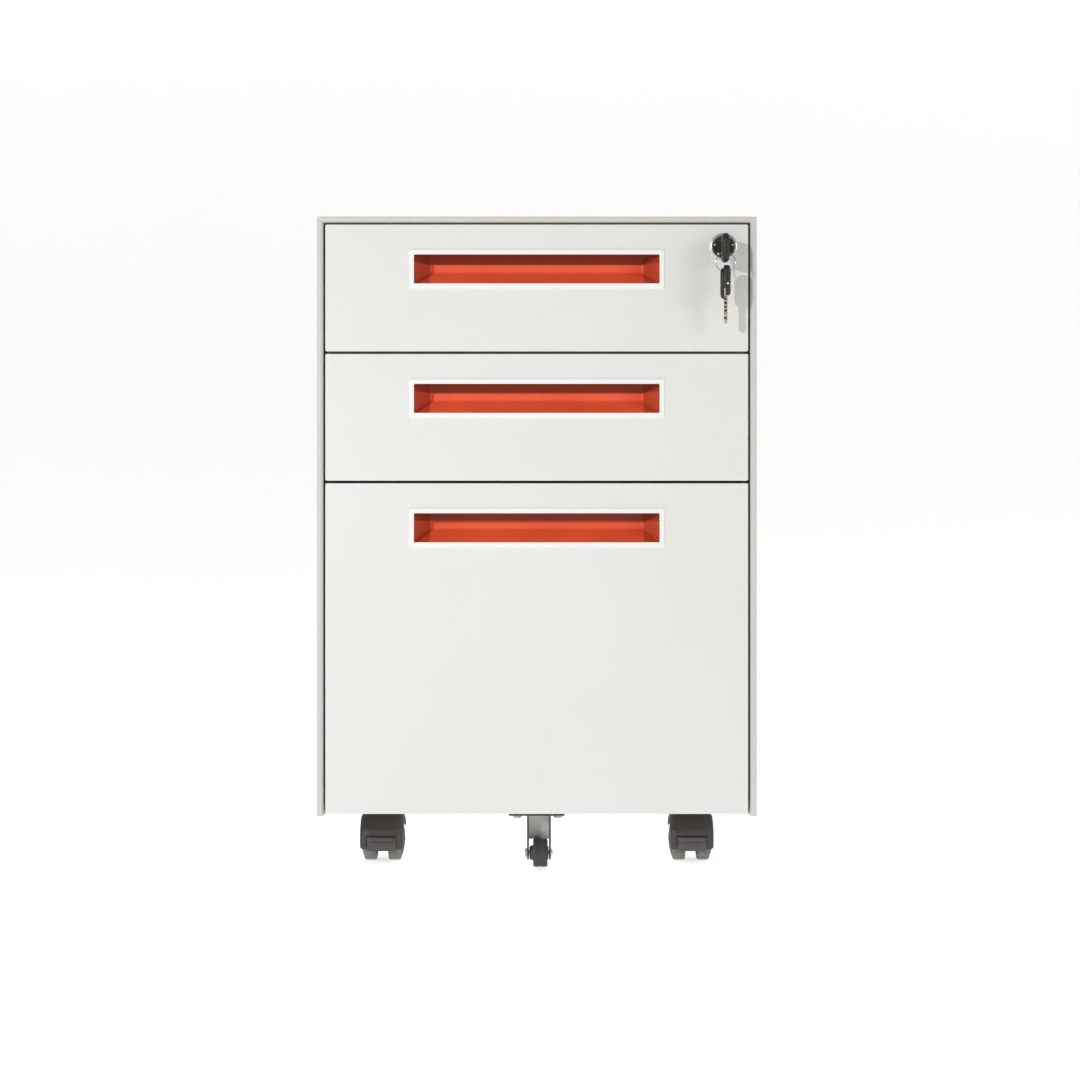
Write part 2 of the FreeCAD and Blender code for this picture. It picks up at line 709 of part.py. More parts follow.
def lies_on_end(edge, centre, half):
    """Does the edge lie on either end face, square to X?"""
    return lies_on(edge, "x", centre - half) or lies_on(edge, "x", centre + half)


# ---- casters ----

def caster_plate(x, y):
    """Mounting plate with its swivel stem and thrust boss."""
    plate = block((x - 20, y - 20, PAN_BOTTOM - 2), (x + 20, y + 20, PAN_BOTTOM))
    plate = rounded(plate, 3.0, lambda e: runs_along(e, Z_AXIS))
    boss = rod(8.0, PAN_BOTTOM - 3.7, PAN_BOTTOM - 2, "z", (x, y))
    stem = rod(STEM_R, AXLE_Z + 20.5, PAN_BOTTOM - 3.7, "z", (x, y))
    return union([plate, boss, stem]).cut(Part.makeCompound(caster_bolts()))


def caster_bolts():
    """Four bolts at each caster plate."""
    bolts = []
    for x, y in CASTERS.values():
        for dx in (-BOLT_REACH, BOLT_REACH):
            for dy in (-BOLT_REACH, BOLT_REACH):
                at = (x + dx, y + dy)
                head = rod(3.2, PAN_BOTTOM - 3.8, PAN_BOTTOM - 2, "z", at)
                shank = rod(2.0, PAN_BOTTOM - 2, PAN_BOTTOM + 4, "z", at)
                bolts.append(union([head, shank]))
    return bolts


def ring_sector(inner, outer, half, start, end):
    """Part of a tube along X about the caster's axle, between two angles up from straight ahead."""
    reach = 60.0
    steps = 6
    turns = [math.radians(start + (end - start) * k / steps) for k in range(steps + 1)]
    fan = [(-reach * math.cos(a), reach * math.sin(a)) for a in turns]
    wedge = prism([(0, 0)] + fan, -half, half, "x")
    tube = rod(outer, -half, half, "x", (0, 0)).cut(rod(inner, -half - 1, half + 1, "x", (0, 0)))
    return tube.common(wedge)


def caster_hood(braked):
    """The hood about its axle: roof, side skirts, centre web, stem socket and brake lugs."""
    shapes = [ring_sector(HOOD_INNER_R, HOOD_R, HOOD_HALF, HOOD_START[braked], HOOD_END)]
    cap = rod(HOOD_R, HOOD_HALF - 1.3, HOOD_HALF, "x", (0, 0))
    cap = cap.common(block((0, -40, 16), (40, 40, 40)))
    shapes += pair(cap)
    web = [(-7, -4), (-4, -7), (4, -7), (7, -4), (14, 8), (20, 14), (20, 20), (9, 22), (-9, 22), (-7, 10)]
    shapes.append(prism(web, -4.2, 4.2, "x"))
    shapes.append(rod(9.0, 18.5, 30.0, "z", (0, TRAIL)))
    if braked:
        lug = ring_sector(HOOD_INNER_R, 25.4, 16.5, -3, 13)
        lug = lug.cut(ring_sector(HOOD_INNER_R - 1, 26, 13.4, -5, 15))
        shapes.append(lug)
        cheeks = ring_sector(HOOD_INNER_R, HOOD_R, HOOD_HALF, CHEEK_START, HOOD_START[True] + 2)
        shapes.append(cheeks.cut(block((-CHEEK_INNER, -40, -40), (CHEEK_INNER, 40, 40))))
    hood = union(shapes)
    hood = hood.cut(rod(STEM_R + RUNNING, 20, 31, "z", (0, TRAIL)))
    hood = hood.cut(rod(CASTER_AXLE_R, -6, 6, "x", (0, 0)))
    if braked:
        hood = hood.cut(rod(1.2 + RUNNING, -17, 17, "x", brake_pivot()))
    return hood


def brake_pivot():
    """The brake pedal's pin, seen along the axle and measured from it."""
    turn = math.radians(5)
    return (-23.4 * math.cos(turn), 23.4 * math.sin(turn))


def brake_pedal():
    """The pedal about its axle: curved shoe, foot tab and two pin ends."""
    shoe = ring_sector(22.5, 25.0, 13.0, -22, 8)
    tab = block((-11, -30, 0.6), (11, -24, 3.2))
    tab = rounded(tab, 2.5, lambda e: runs_along(e, Z_AXIS) and lies_on(e, "y", -30))
    pin = rod(1.2, -15.8, 15.8, "x", brake_pivot())
    return union([shoe, tab, pin])


def caster_wheel():
    """The right-hand wheel of a pair, about its axle: tread, round shoulder and domed face."""
    bore = CASTER_AXLE_R + RUNNING
    points = {
        "axis_out": vec(20.4, 0, 0),
        "dome": vec(18.4, 0, 13.5),
        "shoulder": vec(15.0, 0, WHEEL_R),
    }
    edges = [
        Part.Arc(points["axis_out"], vec(19.9, 0, 7.0), points["dome"]).toShape(),
        Part.Arc(points["dome"], vec(17.3, 0, 17.6), points["shoulder"]).toShape(),
    ]
    rest = [
        points["shoulder"], vec(6.5, 0, WHEEL_R), vec(5.5, 0, WHEEL_R - 1), vec(5.5, 0, bore),
        vec(17.5, 0, bore), vec(17.5, 0, 0), points["axis_out"],
    ]
    edges += [Part.makeLine(a, b) for a, b in zip(rest, rest[1:])]
    profile = Part.Face(Part.Wire(edges))
    return profile.revolve(vec(0, 0, 0), X_AXIS, 360)


def caster_axle():
    """The pin that both wheels turn on."""
    return rod(CASTER_AXLE_R, -17.2, 17.2, "x", (0, 0))


def placed(shape, x, y):
    """A caster piece, made about its axle, moved to its place."""
    piece = shape.copy()
    piece.translate(vec(x, y - TRAIL, AXLE_Z))
    return piece


# ---- the whole part ----

def save_carcass():
    right = side_panel()
    save("side_panel_right", right)
    save("side_panel_left", mirrored(right))
    save("top_panel", top_panel())
    save("back_panel", back_panel())
    save("base_pan", base_pan())
    save("slide_posts", [p for y in POST_YS for p in pair(slide_post(y))])
    save("fixed_slides", [s for number in FRONTS for s in pair(fixed_slide(number))])
    save("slide_screws", [s for screw in slide_screws_right() for s in pair(screw)])
    save("lock_bar_guides", [lock_bar_guide(z) for z in (150.0, 440.0)])
    save("caster_plates", [caster_plate(x, y) for x, y in CASTERS.values()])
    save("caster_bolts", caster_bolts())


def save_lock():
    save("lock_bar", lock_bar())
    save("lock_housing", lock_housing())
    save("lock_nut", lock_nut())
    save("lock_plug", lock_plug())
    save("lock_cam", lock_cam())
    save("key", key())
    save("key_ring", key_ring())
    save("spare_key", spare_key())


def save_drawers():
    for number in FRONTS:
        tail = "_" + str(number)
        save("drawer_front" + tail, drawer_front(number))
        save("drawer_liner" + tail, drawer_liner(number))
        save("drawer_box" + tail, drawer_box(number))
        save("handle_cup" + tail, handle_cup(number))
        save("drawer_slides" + tail, pair(drawer_slide(number)))
        save("slide_mids" + tail, pair(slide_mid(number)))
    save("hanging_rails", pair(hanging_rail()))
    save("anti_tip_bracket", anti_tip_bracket())
    save("anti_tip_screws", anti_tip_screws())
    save("anti_tip_bolt", anti_tip_bolt())
    save("anti_tip_wheel", anti_tip_wheel())


def save_casters():
    wheel = caster_wheel()
    hoods = {True: caster_hood(True), False: caster_hood(False)}
    for name, (x, y) in CASTERS.items():
        save("caster_hood_" + name, placed(hoods[name.startswith("front")], x, y))
        save("caster_axle_" + name, placed(caster_axle(), x, y))
        save("caster_wheel_" + name + "_a", placed(mirrored(wheel), x, y))
        save("caster_wheel_" + name + "_b", placed(wheel, x, y))
    for side in ("left", "right"):
        x, y = CASTERS["front_" + side]
        save("brake_pedal_" + side, placed(brake_pedal(), x, y))


os.makedirs("parts", exist_ok=True)
save_carcass()
save_lock()
save_drawers()
save_casters()
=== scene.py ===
import json
import math

import bmesh
import bpy
from mathutils import Matrix, Vector


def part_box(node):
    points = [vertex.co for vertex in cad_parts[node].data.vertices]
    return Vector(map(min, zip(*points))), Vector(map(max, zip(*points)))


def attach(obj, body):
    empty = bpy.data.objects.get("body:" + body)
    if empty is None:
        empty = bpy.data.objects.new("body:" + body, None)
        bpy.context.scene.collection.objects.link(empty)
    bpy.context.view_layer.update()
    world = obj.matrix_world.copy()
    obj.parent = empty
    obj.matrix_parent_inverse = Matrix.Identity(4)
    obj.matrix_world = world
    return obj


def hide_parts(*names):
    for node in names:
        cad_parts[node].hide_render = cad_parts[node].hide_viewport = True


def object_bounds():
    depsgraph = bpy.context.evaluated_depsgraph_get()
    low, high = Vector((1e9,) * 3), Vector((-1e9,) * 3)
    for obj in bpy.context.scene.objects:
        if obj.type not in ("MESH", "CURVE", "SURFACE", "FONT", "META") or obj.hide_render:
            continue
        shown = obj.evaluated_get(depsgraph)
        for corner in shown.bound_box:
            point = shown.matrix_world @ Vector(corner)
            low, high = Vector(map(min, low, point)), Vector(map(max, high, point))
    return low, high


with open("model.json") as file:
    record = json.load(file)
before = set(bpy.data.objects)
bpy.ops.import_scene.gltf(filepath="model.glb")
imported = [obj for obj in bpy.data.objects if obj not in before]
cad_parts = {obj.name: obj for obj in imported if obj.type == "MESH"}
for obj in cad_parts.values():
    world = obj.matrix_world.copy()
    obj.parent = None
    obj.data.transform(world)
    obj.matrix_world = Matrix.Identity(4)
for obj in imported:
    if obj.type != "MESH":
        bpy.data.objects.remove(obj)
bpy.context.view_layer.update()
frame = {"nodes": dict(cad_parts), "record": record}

# The looks of a three-drawer mobile pedestal. Metres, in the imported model's own frame.

MM = 0.001
DRAWERS = (1, 2, 3)
CORNERS = ("front_left", "front_right", "rear_left", "rear_right")
X, Y, Z = Vector((1, 0, 0)), Vector((0, 1, 0)), Vector((0, 0, 1))


# ---------------------------------------------------------------- shader arithmetic

class Wire:
    """A shader socket that takes part in arithmetic."""

    def __init__(self, finish, socket):
        self.finish = finish
        self.socket = socket

    def maths(self, operation, first, second):
        return self.finish.node("ShaderNodeMath", {"operation": operation}, {0: first, 1: second})

    def __add__(self, other):
        return self.maths("ADD", self, other)

    def __sub__(self, other):
        return self.maths("SUBTRACT", self, other)

    def __rsub__(self, other):
        return self.maths("SUBTRACT", other, self)

    def __mul__(self, other):
        return self.maths("MULTIPLY", self, other)

    __radd__ = __add__
    __rmul__ = __mul__


class Finish:
    """A material being made: its tree, its shader and its Object coordinates."""

    def __init__(self, name, colour, roughness, **constants):
        self.material = bpy.data.materials.new(name)
        self.material.use_nodes = True
        self.tree = self.material.node_tree
        self.tree.nodes.clear()
        output = self.tree.nodes.new("ShaderNodeOutputMaterial")
        self.shader = self.tree.nodes.new("ShaderNodeBsdfPrincipled")
        self.tree.links.new(self.shader.outputs[0], output.inputs[0])
        self.shader.inputs["Base Color"].default_value = (*colour, 1)
        self.shader.inputs["Roughness"].default_value = roughness
        for socket, value in constants.items():
            self.shader.inputs[socket.replace("_", " ")].default_value = value
        self.place = self.node("ShaderNodeTexCoord", output="Object")
        self.material.diffuse_color = (*colour, 1)

    def node(self, kind, settings=None, sockets=None, output=0):
        """One node of any type: its settings first, then its sockets' values or links."""
        made = self.tree.nodes.new(kind)
        for key, value in (settings or {}).items():
            if key == "stops":
                self.set_stops(made.color_ramp, value)
            else:
                setattr(made, key, value)
        for key, value in (sockets or {}).items():
            if isinstance(value, Wire):
                self.tree.links.new(value.socket, made.inputs[key])
            else:
                made.inputs[key].default_value = value
        return Wire(self, made.outputs[output])

    def set_stops(self, ramp, stops):
        while len(ramp.elements) < len(stops):
            ramp.elements.new(1.0)
        for element, (at, shade) in zip(ramp.elements, stops):
            element.position = at
            element.color = (shade, shade, shade, 1)

    def noise(self, scale, detail=2.0, stretch=(1, 1, 1), seed=0.0):
        """Noise from 0 to 1, with features about 1 / scale metres wide."""
        sockets = {"Vector": self.place, "Scale": stretch, "Location": (seed, seed, seed)}
        where = self.node("ShaderNodeMapping", None, sockets)
        return self.node("ShaderNodeTexNoise", None, {"Vector": where, "Scale": scale, "Detail": detail})

    def ramp(self, value, *stops):
        return self.node("ShaderNodeValToRGB", {"stops": stops}, {"Fac": value})

    def mix(self, first, second, share):
        """A colour part of the way from first to second."""
        ends = [c if isinstance(c, Wire) else (*c, 1) for c in (first, second)]
        sockets = {0: share, 6: ends[0], 7: ends[1]}
        return self.node("ShaderNodeMix", {"data_type": "RGBA"}, sockets, output=2)

    def feed(self, socket, wire):
        self.tree.links.new(wire.socket, self.shader.inputs[socket])

    def bump(self, height, depth):
        """A Bump node of a height from 0 to 1 that stands depth metres high."""
        return self.node("ShaderNodeBump", None, {"Height": height, "Distance": depth, "Strength": 1.0})

    def edges(self, width):
        """1 near an outside or inside edge, 0 on the flats."""
        rounded = self.node("ShaderNodeBevel", {"samples": 4}, {"Radius": width})
        flat = self.node("ShaderNodeNewGeometry", output="Normal")
        turn = self.node("ShaderNodeVectorMath", {"operation": "DOT_PRODUCT"}, {0: rounded, 1: flat}, "Value")
        return self.ramp(1.0 - turn, (0.005, 0), (0.12, 1))


# ---------------------------------------------------------------- finishes

def powder_coat(name, colour, seed):
    """Fine-grained satin powder coat on sheet steel, its tone clouded and speckled, its sheen smudged."""
    finish = Finish(name, colour, 0.42, Specular_IOR_Level=0.45)
    cloud = finish.noise(7, 3, seed=seed)
    speckle = finish.noise(2600, 1, seed=seed)
    peel = finish.noise(900, 2, seed=seed)
    warm = tuple(c * s for c, s in zip(colour, (0.985, 0.978, 0.962)))
    cool = tuple(min(1.0, c * s) for c, s in zip(colour, (1.0, 1.006, 1.012)))
    tone = finish.mix(warm, cool, finish.ramp(cloud, (0.3, 0), (0.7, 1)))
    grain = finish.ramp(speckle, (0.62, 0), (0.78, 1)) * 0.10
    tone = finish.mix(tone, tuple(0.82 * c for c in colour), grain)
    finish.feed("Base Color", tone)
    smudge = finish.ramp(finish.noise(22, 4, seed=seed + 3), (0.45, 0), (0.75, 1))
    finish.feed("Roughness", 0.40 + 0.07 * peel + 0.06 * smudge)
    finish.feed("Normal", finish.bump(peel * 0.7 + speckle * 0.3, 0.00006))
    return finish.material


SHADE_TOP, SHADE_FULL = 16.4, 13.8    # painted shade starts and is full this far under the cup's top, in mm
SHADE_ENDS, SHADE_FADE = 20.0, 9.0    # the sloped ends' depth and the painted shade's scale along X, in mm


def painted_cup_shade(finish, tone, colour, box):
    """A cup's tone with painted shade: darker under the ceiling and at its two sloped ends."""
    low, high = box
    low_z, deep_z = high.z - SHADE_TOP * MM, high.z - SHADE_FULL * MM
    tall = finish.node("ShaderNodeSeparateXYZ", None, {"Vector": finish.place}, "Z")
    under = finish.ramp((tall - low_z) * (1 / (deep_z - low_z)), (0.2, 0), (0.75, 1))
    across = finish.node("ShaderNodeSeparateXYZ", None, {"Vector": finish.place}, "X")
    out = finish.node("ShaderNodeMath", {"operation": "ABSOLUTE"}, {0: across})
    inner = (high.x - low.x) / 2 - SHADE_ENDS * MM
    ends = finish.ramp((out - inner) * (1 / (SHADE_FADE * MM)), (0.1, 0), (0.35, 1))
    # Painted shade: first at the two sloped ends, then under the ceiling.
    tone = finish.mix(tone, tuple(0.38 * c for c in colour), ends * 0.68)
    return finish.mix(tone, tuple(0.30 * c for c in colour), under * 0.9)


def moulded_plastic(name, colour, roughness, grain_scale, grain_depth, worn, seed, cup=None):
    """Injection-moulded plastic: eroded grain, faint flow marks and paler rubbed edges."""
    finish = Finish(name, colour, roughness, Specular_IOR_Level=0.4)
    flow = finish.noise(18, 3, (1, 1, 0.4), seed)
    grain = finish.noise(grain_scale, 2, seed=seed)
    dark = tuple(0.86 * c for c in colour)
    light = tuple(min(1.0, 1.08 * c + 0.004) for c in colour)
    tone = finish.mix(dark, light, finish.ramp(flow, (0.3, 0), (0.7, 1)))
    rub = finish.ramp(finish.noise(160, 3, seed=seed + 5), (0.4, 0), (0.7, 1)) * finish.edges(0.0007)
    tone = finish.mix(tone, tuple(min(1.0, worn * c + 0.02) for c in colour), rub * 0.6)
    # Given a cup's box, painted shade darkens the cup under its ceiling and at its sloped ends.
    if cup:
        tone = painted_cup_shade(finish, tone, colour, cup)
    finish.feed("Base Color", tone)
    finish.feed("Roughness", (roughness - 0.06) + 0.10 * flow + 0.08 * grain)
    finish.feed("Normal", finish.bump(grain, grain_depth))
    return finish.material


def zinc_plate(name, seed, roughness=0.24):
    """Bright zinc plate on rolled steel: fine lines along Y, cloudy passivation and bare edges."""
    colour = (0.60, 0.61, 0.60)
    finish = Finish(name, colour, 0.34, Metallic=1.0)
    lines = finish.noise(900, 2, (1, 0.02, 1), seed)
    cloud = finish.noise(45, 4, seed=seed)
    tone = finish.mix((0.47, 0.48, 0.50), (0.70, 0.69, 0.65), finish.ramp(cloud, (0.3, 0), (0.7, 1)))
    tone = finish.mix(tone, (0.83, 0.83, 0.82), finish.edges(0.0006) * 0.5)
    finish.feed("Base Color", tone)
    finish.feed("Roughness", roughness + 0.16 * cloud + 0.08 * lines)
    finish.feed("Normal", finish.bump(lines, 0.00002))
    return finish.material


def polished_metal(name, colour, roughness, seed):
    """Plated or drawn metal with faint handling haze."""
    finish = Finish(name, colour, roughness, Metallic=1.0)
    haze = finish.noise(260, 3, seed=seed)
    scratch = finish.noise(2400, 2, (1, 1, 0.08), seed)
    dull = tuple(0.8 * c for c in colour)
    finish.feed("Base Color", finish.mix(dull, colour, finish.ramp(haze, (0.3, 0), (0.6, 1))))
    finish.feed("Roughness", roughness + 0.12 * haze + 0.06 * scratch)
    finish.feed("Normal", finish.bump(scratch, 0.00001))
    return finish.material


def wheel_tread(name):
    """Grey polyurethane tread with dust and fine flat spots."""
    finish = Finish(name, (0.15, 0.142, 0.135), 0.55)
    dust = finish.noise(420, 4)
    band = finish.noise(1500, 2, (0.15, 1, 1))
    tone = finish.mix((0.085, 0.08, 0.076), (0.22, 0.208, 0.196), finish.ramp(dust, (0.3, 0), (0.7, 1)))
    finish.feed("Base Color", tone)
    finish.feed("Roughness", 0.45 + 0.25 * dust)
    finish.feed("Normal", finish.bump(band, 0.00004))
    return finish.material


def pale_floor(name):
    """A plain pale studio floor."""
    finish = Finish(name, (0.93, 0.93, 0.925), 0.7, Emission_Color=(1, 1, 1, 1), Emission_Strength=0.56)
    mottle = finish.noise(1.5, 3)
    finish.feed("Base Color", finish.mix((0.92, 0.92, 0.915), (0.94, 0.94, 0.935), mottle))
    finish.feed("Roughness", 0.62 + 0.1 * mottle)
    return finish.material


PAINT = powder_coat("white_powder_coat", (0.775, 0.783, 0.752), 0.0)
# A darker, warmer copy of the white powder coat for the carcass sheets and their welds: painted shade.
PAINT_SHADED = powder_coat("white_powder_coat_painted_shade", (0.665, 0.632, 0.605), 11.0)
# A brighter copy of the white powder coat: painted highlight on the handle rims and on the spare key's pin.
WHITE_HIGHLIGHT = powder_coat("white_painted_highlight", (0.88, 0.88, 0.865), 31.0)
PAINT_INSIDE = powder_coat("white_powder_coat_inside", (0.74, 0.745, 0.72), 23.0)
ORANGE = [
    moulded_plastic("orange_handle_plastic_%d" % number, (0.98, 0.128, 0.046), 0.42, 1400, 0.00003, 1.05,
                    number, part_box("handle_cup_%d" % number))
    for number in DRAWERS
]
BLACK = moulded_plastic("black_key_plastic", (0.022, 0.021, 0.020), 0.44, 1800, 0.00003, 2.2, 2.0)
LOCK_BLACK = moulded_plastic("black_lock_face", (0.024, 0.023, 0.022), 0.36, 2400, 0.00001, 2.0, 3.0)
HOOD = moulded_plastic("caster_hood_plastic", (0.050, 0.043, 0.040), 0.50, 1300, 0.00004, 2.0, 4.0)
PEDAL = moulded_plastic("brake_pedal_plastic", (0.070, 0.062, 0.058), 0.48, 1300, 0.00004, 2.0, 5.0)
WHEEL = moulded_plastic("caster_wheel_plastic", (0.040, 0.036, 0.034), 0.46, 1500, 0.00003, 2.0, 6.0)
TREAD = wheel_tread("grey_wheel_tread")
ZINC = zinc_plate("zinc_plated_steel", 0.0)
DULL_ZINC = zinc_plate("dull_zinc_fork", 3.0, 0.52)
CHROME = polished_metal("lock_chrome", (0.80, 0.80, 0.80), 0.16, 0.0)
SCREW_STEEL = polished_metal("dull_screw_steel", (0.47, 0.39, 0.36), 0.30, 13.0)
# Near-black steel for the anti-tip fork's front faces: sheared edges, darkened further as painted shade.
CUT_EDGE_SHADE = polished_metal("sheared_edge_and_painted_shade", (0.10, 0.098, 0.095), 0.45, 15.0)
RING_WIRE = polished_metal("ring_wire", (0.62, 0.61, 0.59), 0.16, 4.0)
KEY_STEEL = polished_metal("key_blade_steel", (0.60, 0.50, 0.33), 0.30, 7.0)
# Near-black for the key blade's cut faces: painted shade.
KEY_CUT_SHADE = polished_metal("key_cut_painted_shade", (0.13, 0.10, 0.07), 0.45, 8.0)
BRASS = polished_metal("yellow_zinc_nut", (0.62, 0.52, 0.34), 0.26, 9.0)
FLOOR = pale_floor("pale_floor")


# ---------------------------------------------------------------- mesh helpers

def keep_mesh(name, mesh, finishes, sharp_deg=32.0):
    """A finished piece: shaded smooth up to sharp_deg, at the origin, with its materials."""
    for finish in finishes:
        mesh.materials.append(finish)
    for face in mesh.polygons:
        face.use_smooth = True
    mesh.set_sharp_from_angle(angle=math.radians(sharp_deg))
    piece = bpy.data.objects.new(name, mesh)
    bpy.context.collection.objects.link(piece)
    return piece


def piece_from(name, bm, finishes, sharp_deg=32.0):
    """A piece from a closed bmesh, its doubles merged and its faces turned outwards."""
    bmesh.ops.remove_doubles(bm, verts=bm.verts, dist=1e-7)
    bmesh.ops.recalc_face_normals(bm, faces=bm.faces)
    mesh = bpy.data.meshes.new(name)
    bm.to_mesh(mesh)
    bm.free()
    return keep_mesh(name, mesh, finishes, sharp_deg)


def bake_modifiers(piece):
    """The piece with its modifiers worked into a plain mesh."""
    depsgraph = bpy.context.evaluated_depsgraph_get()
    mesh = bpy.data.meshes.new_from_object(piece.evaluated_get(depsgraph))
    piece.modifiers.clear()
    piece.data = mesh
    return piece


def lathe(bm, profile, axis, centre, steps=64, finish=0):
    """A closed solid of revolution. The profile lists (along the axis, radius); ends at radius 0 close."""
    side = Z if abs(axis.dot(Z)) < 0.5 else X
    other = axis.cross(side)
    rings = []
    for along, radius in profile:
        count = steps if radius > 0 else 1
        turns = [2 * math.pi * k / steps for k in range(count)]
        spots = [centre + axis * along + (side * math.cos(t) + other * math.sin(t)) * radius for t in turns]
        rings.append([bm.verts.new(s) for s in spots])
    closed = profile[0][1] > 0
    pairs = list(zip(rings, rings[1:] + rings[:1] if closed else rings[1:]))
    for first, second in pairs:
        for k in range(steps):
            nxt = (k + 1) % steps
            corners = [first[k % len(first)], first[nxt % len(first)]]
            corners += [second[nxt % len(second)], second[k % len(second)]]
            face = bm.faces.new(list(dict.fromkeys(corners)))
            face.material_index = finish


def arc(centre, radius, start_deg, end_deg, steps=6):
    """Points on an arc in the (u, v) plane."""
    turns = [math.radians(start_deg + (end_deg - start_deg) * k / steps) for k in range(steps + 1)]
    return [(centre[0] + radius * math.cos(t), centre[1] + radius * math.sin(t)) for t in turns]


def slab(bm, outline, low, high, place, finish=0):
    """An outline of (u, v) points between two levels; place(u, v, level) gives a point in the frame."""
    bottom = [bm.verts.new(place(u, v, low)) for u, v in outline]
    top = [bm.verts.new(place(u, v, high)) for u, v in outline]
    faces = [bm.faces.new(bottom[::-1]), bm.faces.new(top)]
    for k in range(len(outline)):
        nxt = (k + 1) % len(outline)
        faces.append(bm.faces.new((bottom[k], bottom[nxt], top[nxt], top[k])))
    for face in faces:
        face.material_index = finish


def rounded_outline(low, high, radius, steps=6):
    """A rounded rectangle's outline between two (u, v) corners."""
    (u0, v0), (u1, v1) = low, high
    points = arc((u1 - radius, v1 - radius), radius, 0, 90, steps)
    points += arc((u0 + radius, v1 - radius), radius, 90, 180, steps)
    points += arc((u0 + radius, v0 + radius), radius, 180, 270, steps)
    points += arc((u1 - radius, v0 + radius), radius, 270, 360, steps)
    return points


def soften(piece, width, angle_deg=28.0):
    """Rounds a piece's sharp edges."""
    bevel = piece.modifiers.new("edges", "BEVEL")
    bevel.width = width
    bevel.segments = 2
    bevel.limit_method = "ANGLE"
    bevel.angle_limit = math.radians(angle_deg)
    bevel.use_clamp_overlap = True
    bevel.harden_normals = False
    return bake_modifiers(piece)


def soft_copy(node, name, width, finish):
    """A copy of a CAD node with its sharp edges rounded, which stands for the node."""
    bm = bmesh.new()
    bm.from_mesh(frame["nodes"][node].data)
    bmesh.ops.remove_doubles(bm, verts=bm.verts, dist=1e-6)
    bmesh.ops.dissolve_limit(bm, angle_limit=math.radians(0.6), verts=bm.verts, edges=bm.edges)
    mesh = bpy.data.meshes.new(name)
    bm.to_mesh(mesh)
    bm.free()
    piece = soften(keep_mesh(name, mesh, [finish]), width)
    piece.data.set_sharp_from_angle(angle=math.radians(35))
    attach(piece, body_of(node))
    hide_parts(node)
    return piece


def body_of(node):
    """The body that a CAD node rides on."""
    for body, members in frame["record"]["behaviour"]["bodies"].items():
        if node in members:
            return body


def dress(node, finish):
    """Gives a CAD node its material."""
    mesh = frame["nodes"][node].data
    mesh.materials.clear()
    mesh.materials.append(finish)


# ---------------------------------------------------------------- studio

LAMP_SPREAD = 50.0                  # degrees
CAMERA_SENSOR, CAMERA_LENS = 36.0, 71.45
CAMERA_X, CAMERA_Z = 0.0029, 0.2932
CAMERA_AWAY = 1.9                   # from the cabinet's front
WORLD_STRENGTH = 0.25
FLOOR_GAP = 0.0002                  # keeps the floor just clear of the wheels


def make_floor(box):
    """A pale floor that curves up into a backdrop far behind the cabinet."""
    half, front, back, radius, tall = 9.0, -8.0, 3.2, 2.5, 9.0
    path = [(front, 0.0)] + arc((back, radius), radius, 270, 360, 24) + [(back + radius, tall)]
    bm = bmesh.new()
    rows = [[bm.verts.new((x, y, z + box[0].z - FLOOR_GAP)) for y, z in path] for x in (-half, half)]
    for k in range(len(path) - 1):
        bm.faces.new((rows[0][k], rows[1][k], rows[1][k + 1], rows[0][k + 1]))
    mesh = bpy.data.meshes.new("studio_floor")
    bm.to_mesh(mesh)
    bm.free()
    keep_mesh("studio_floor", mesh, [FLOOR], 60)


def lamp(name, target, direction, distance, size, power):
    """A round area lamp that shines along a direction at a target, its light kept within a cone."""
    data = bpy.data.lights.new(name, "AREA")
    data.shape = "DISK"
    data.size = size
    data.energy = power
    data.spread = math.radians(LAMP_SPREAD)
    light = bpy.data.objects.new(name, data)
    aim = Vector(direction).normalized()
    light.location = Vector(target) - aim * distance
    light.rotation_euler = aim.to_track_quat("-Z", "Y").to_euler()
    bpy.context.collection.objects.link(light)


def make_camera(front_y):
    """A level camera straight in front, a little right of the middle."""
    data = bpy.data.cameras.new("camera")
    data.sensor_width = CAMERA_SENSOR
    data.lens = CAMERA_LENS
    camera = bpy.data.objects.new("camera", data)
    camera.location = (CAMERA_X, front_y - CAMERA_AWAY, CAMERA_Z)
    camera.rotation_euler = (math.radians(90), 0, 0)
    bpy.context.collection.objects.link(camera)
    bpy.context.scene.camera = camera


def make_studio():
    """White surroundings, a hard key lamp from the left, a softer one from the right."""
    scene = bpy.context.scene
    scene.view_settings.view_transform = "Standard"
    world = bpy.data.worlds.new("studio")
    world.use_nodes = True
    background = world.node_tree.nodes["Background"]
    background.inputs["Color"].default_value = (1.0, 1.0, 1.0, 1)
    background.inputs["Strength"].default_value = WORLD_STRENGTH
    scene.world = world
    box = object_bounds()
    middle = (box[0] + box[1]) / 2
    make_floor(box)
    lamp("key_lamp", middle, (0.70, 1.0, -0.34), distance=4.0, size=0.16, power=4.5)
    lamp("side_lamp", middle, (-1.15, 1.0, -0.35), distance=4.5, size=1.5, power=3.0)
    make_camera(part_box("side_panel_left")[0].y)


# ---------------------------------------------------------------- pieces

def settle(piece, node):
    """A finished piece takes a CAD node's place on its body."""
    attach(piece, body_of(node))
    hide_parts(node)


def islands(node):
    """The boxes (low, high) of a CAD node's separate solids."""
    bm = bmesh.new()
    bm.from_mesh(frame["nodes"][node].data)
    bmesh.ops.remove_doubles(bm, verts=bm.verts, dist=1e-6)
    left, boxes = set(bm.verts), []
    while left:
        stack, group = [left.pop()], []
        while stack:
            vert = stack.pop()
            group.append(vert.co.copy())
            for edge in vert.link_edges:
                other = edge.other_vert(vert)
                if other in left:
                    left.discard(other)
                    stack.append(other)
        low = Vector([min(p[k] for p in group) for k in range(3)])
        high = Vector([max(p[k] for p in group) for k in range(3)])
        boxes.append((low, high))
    bm.free()
    return sorted(boxes, key=lambda box: tuple(box[0]))


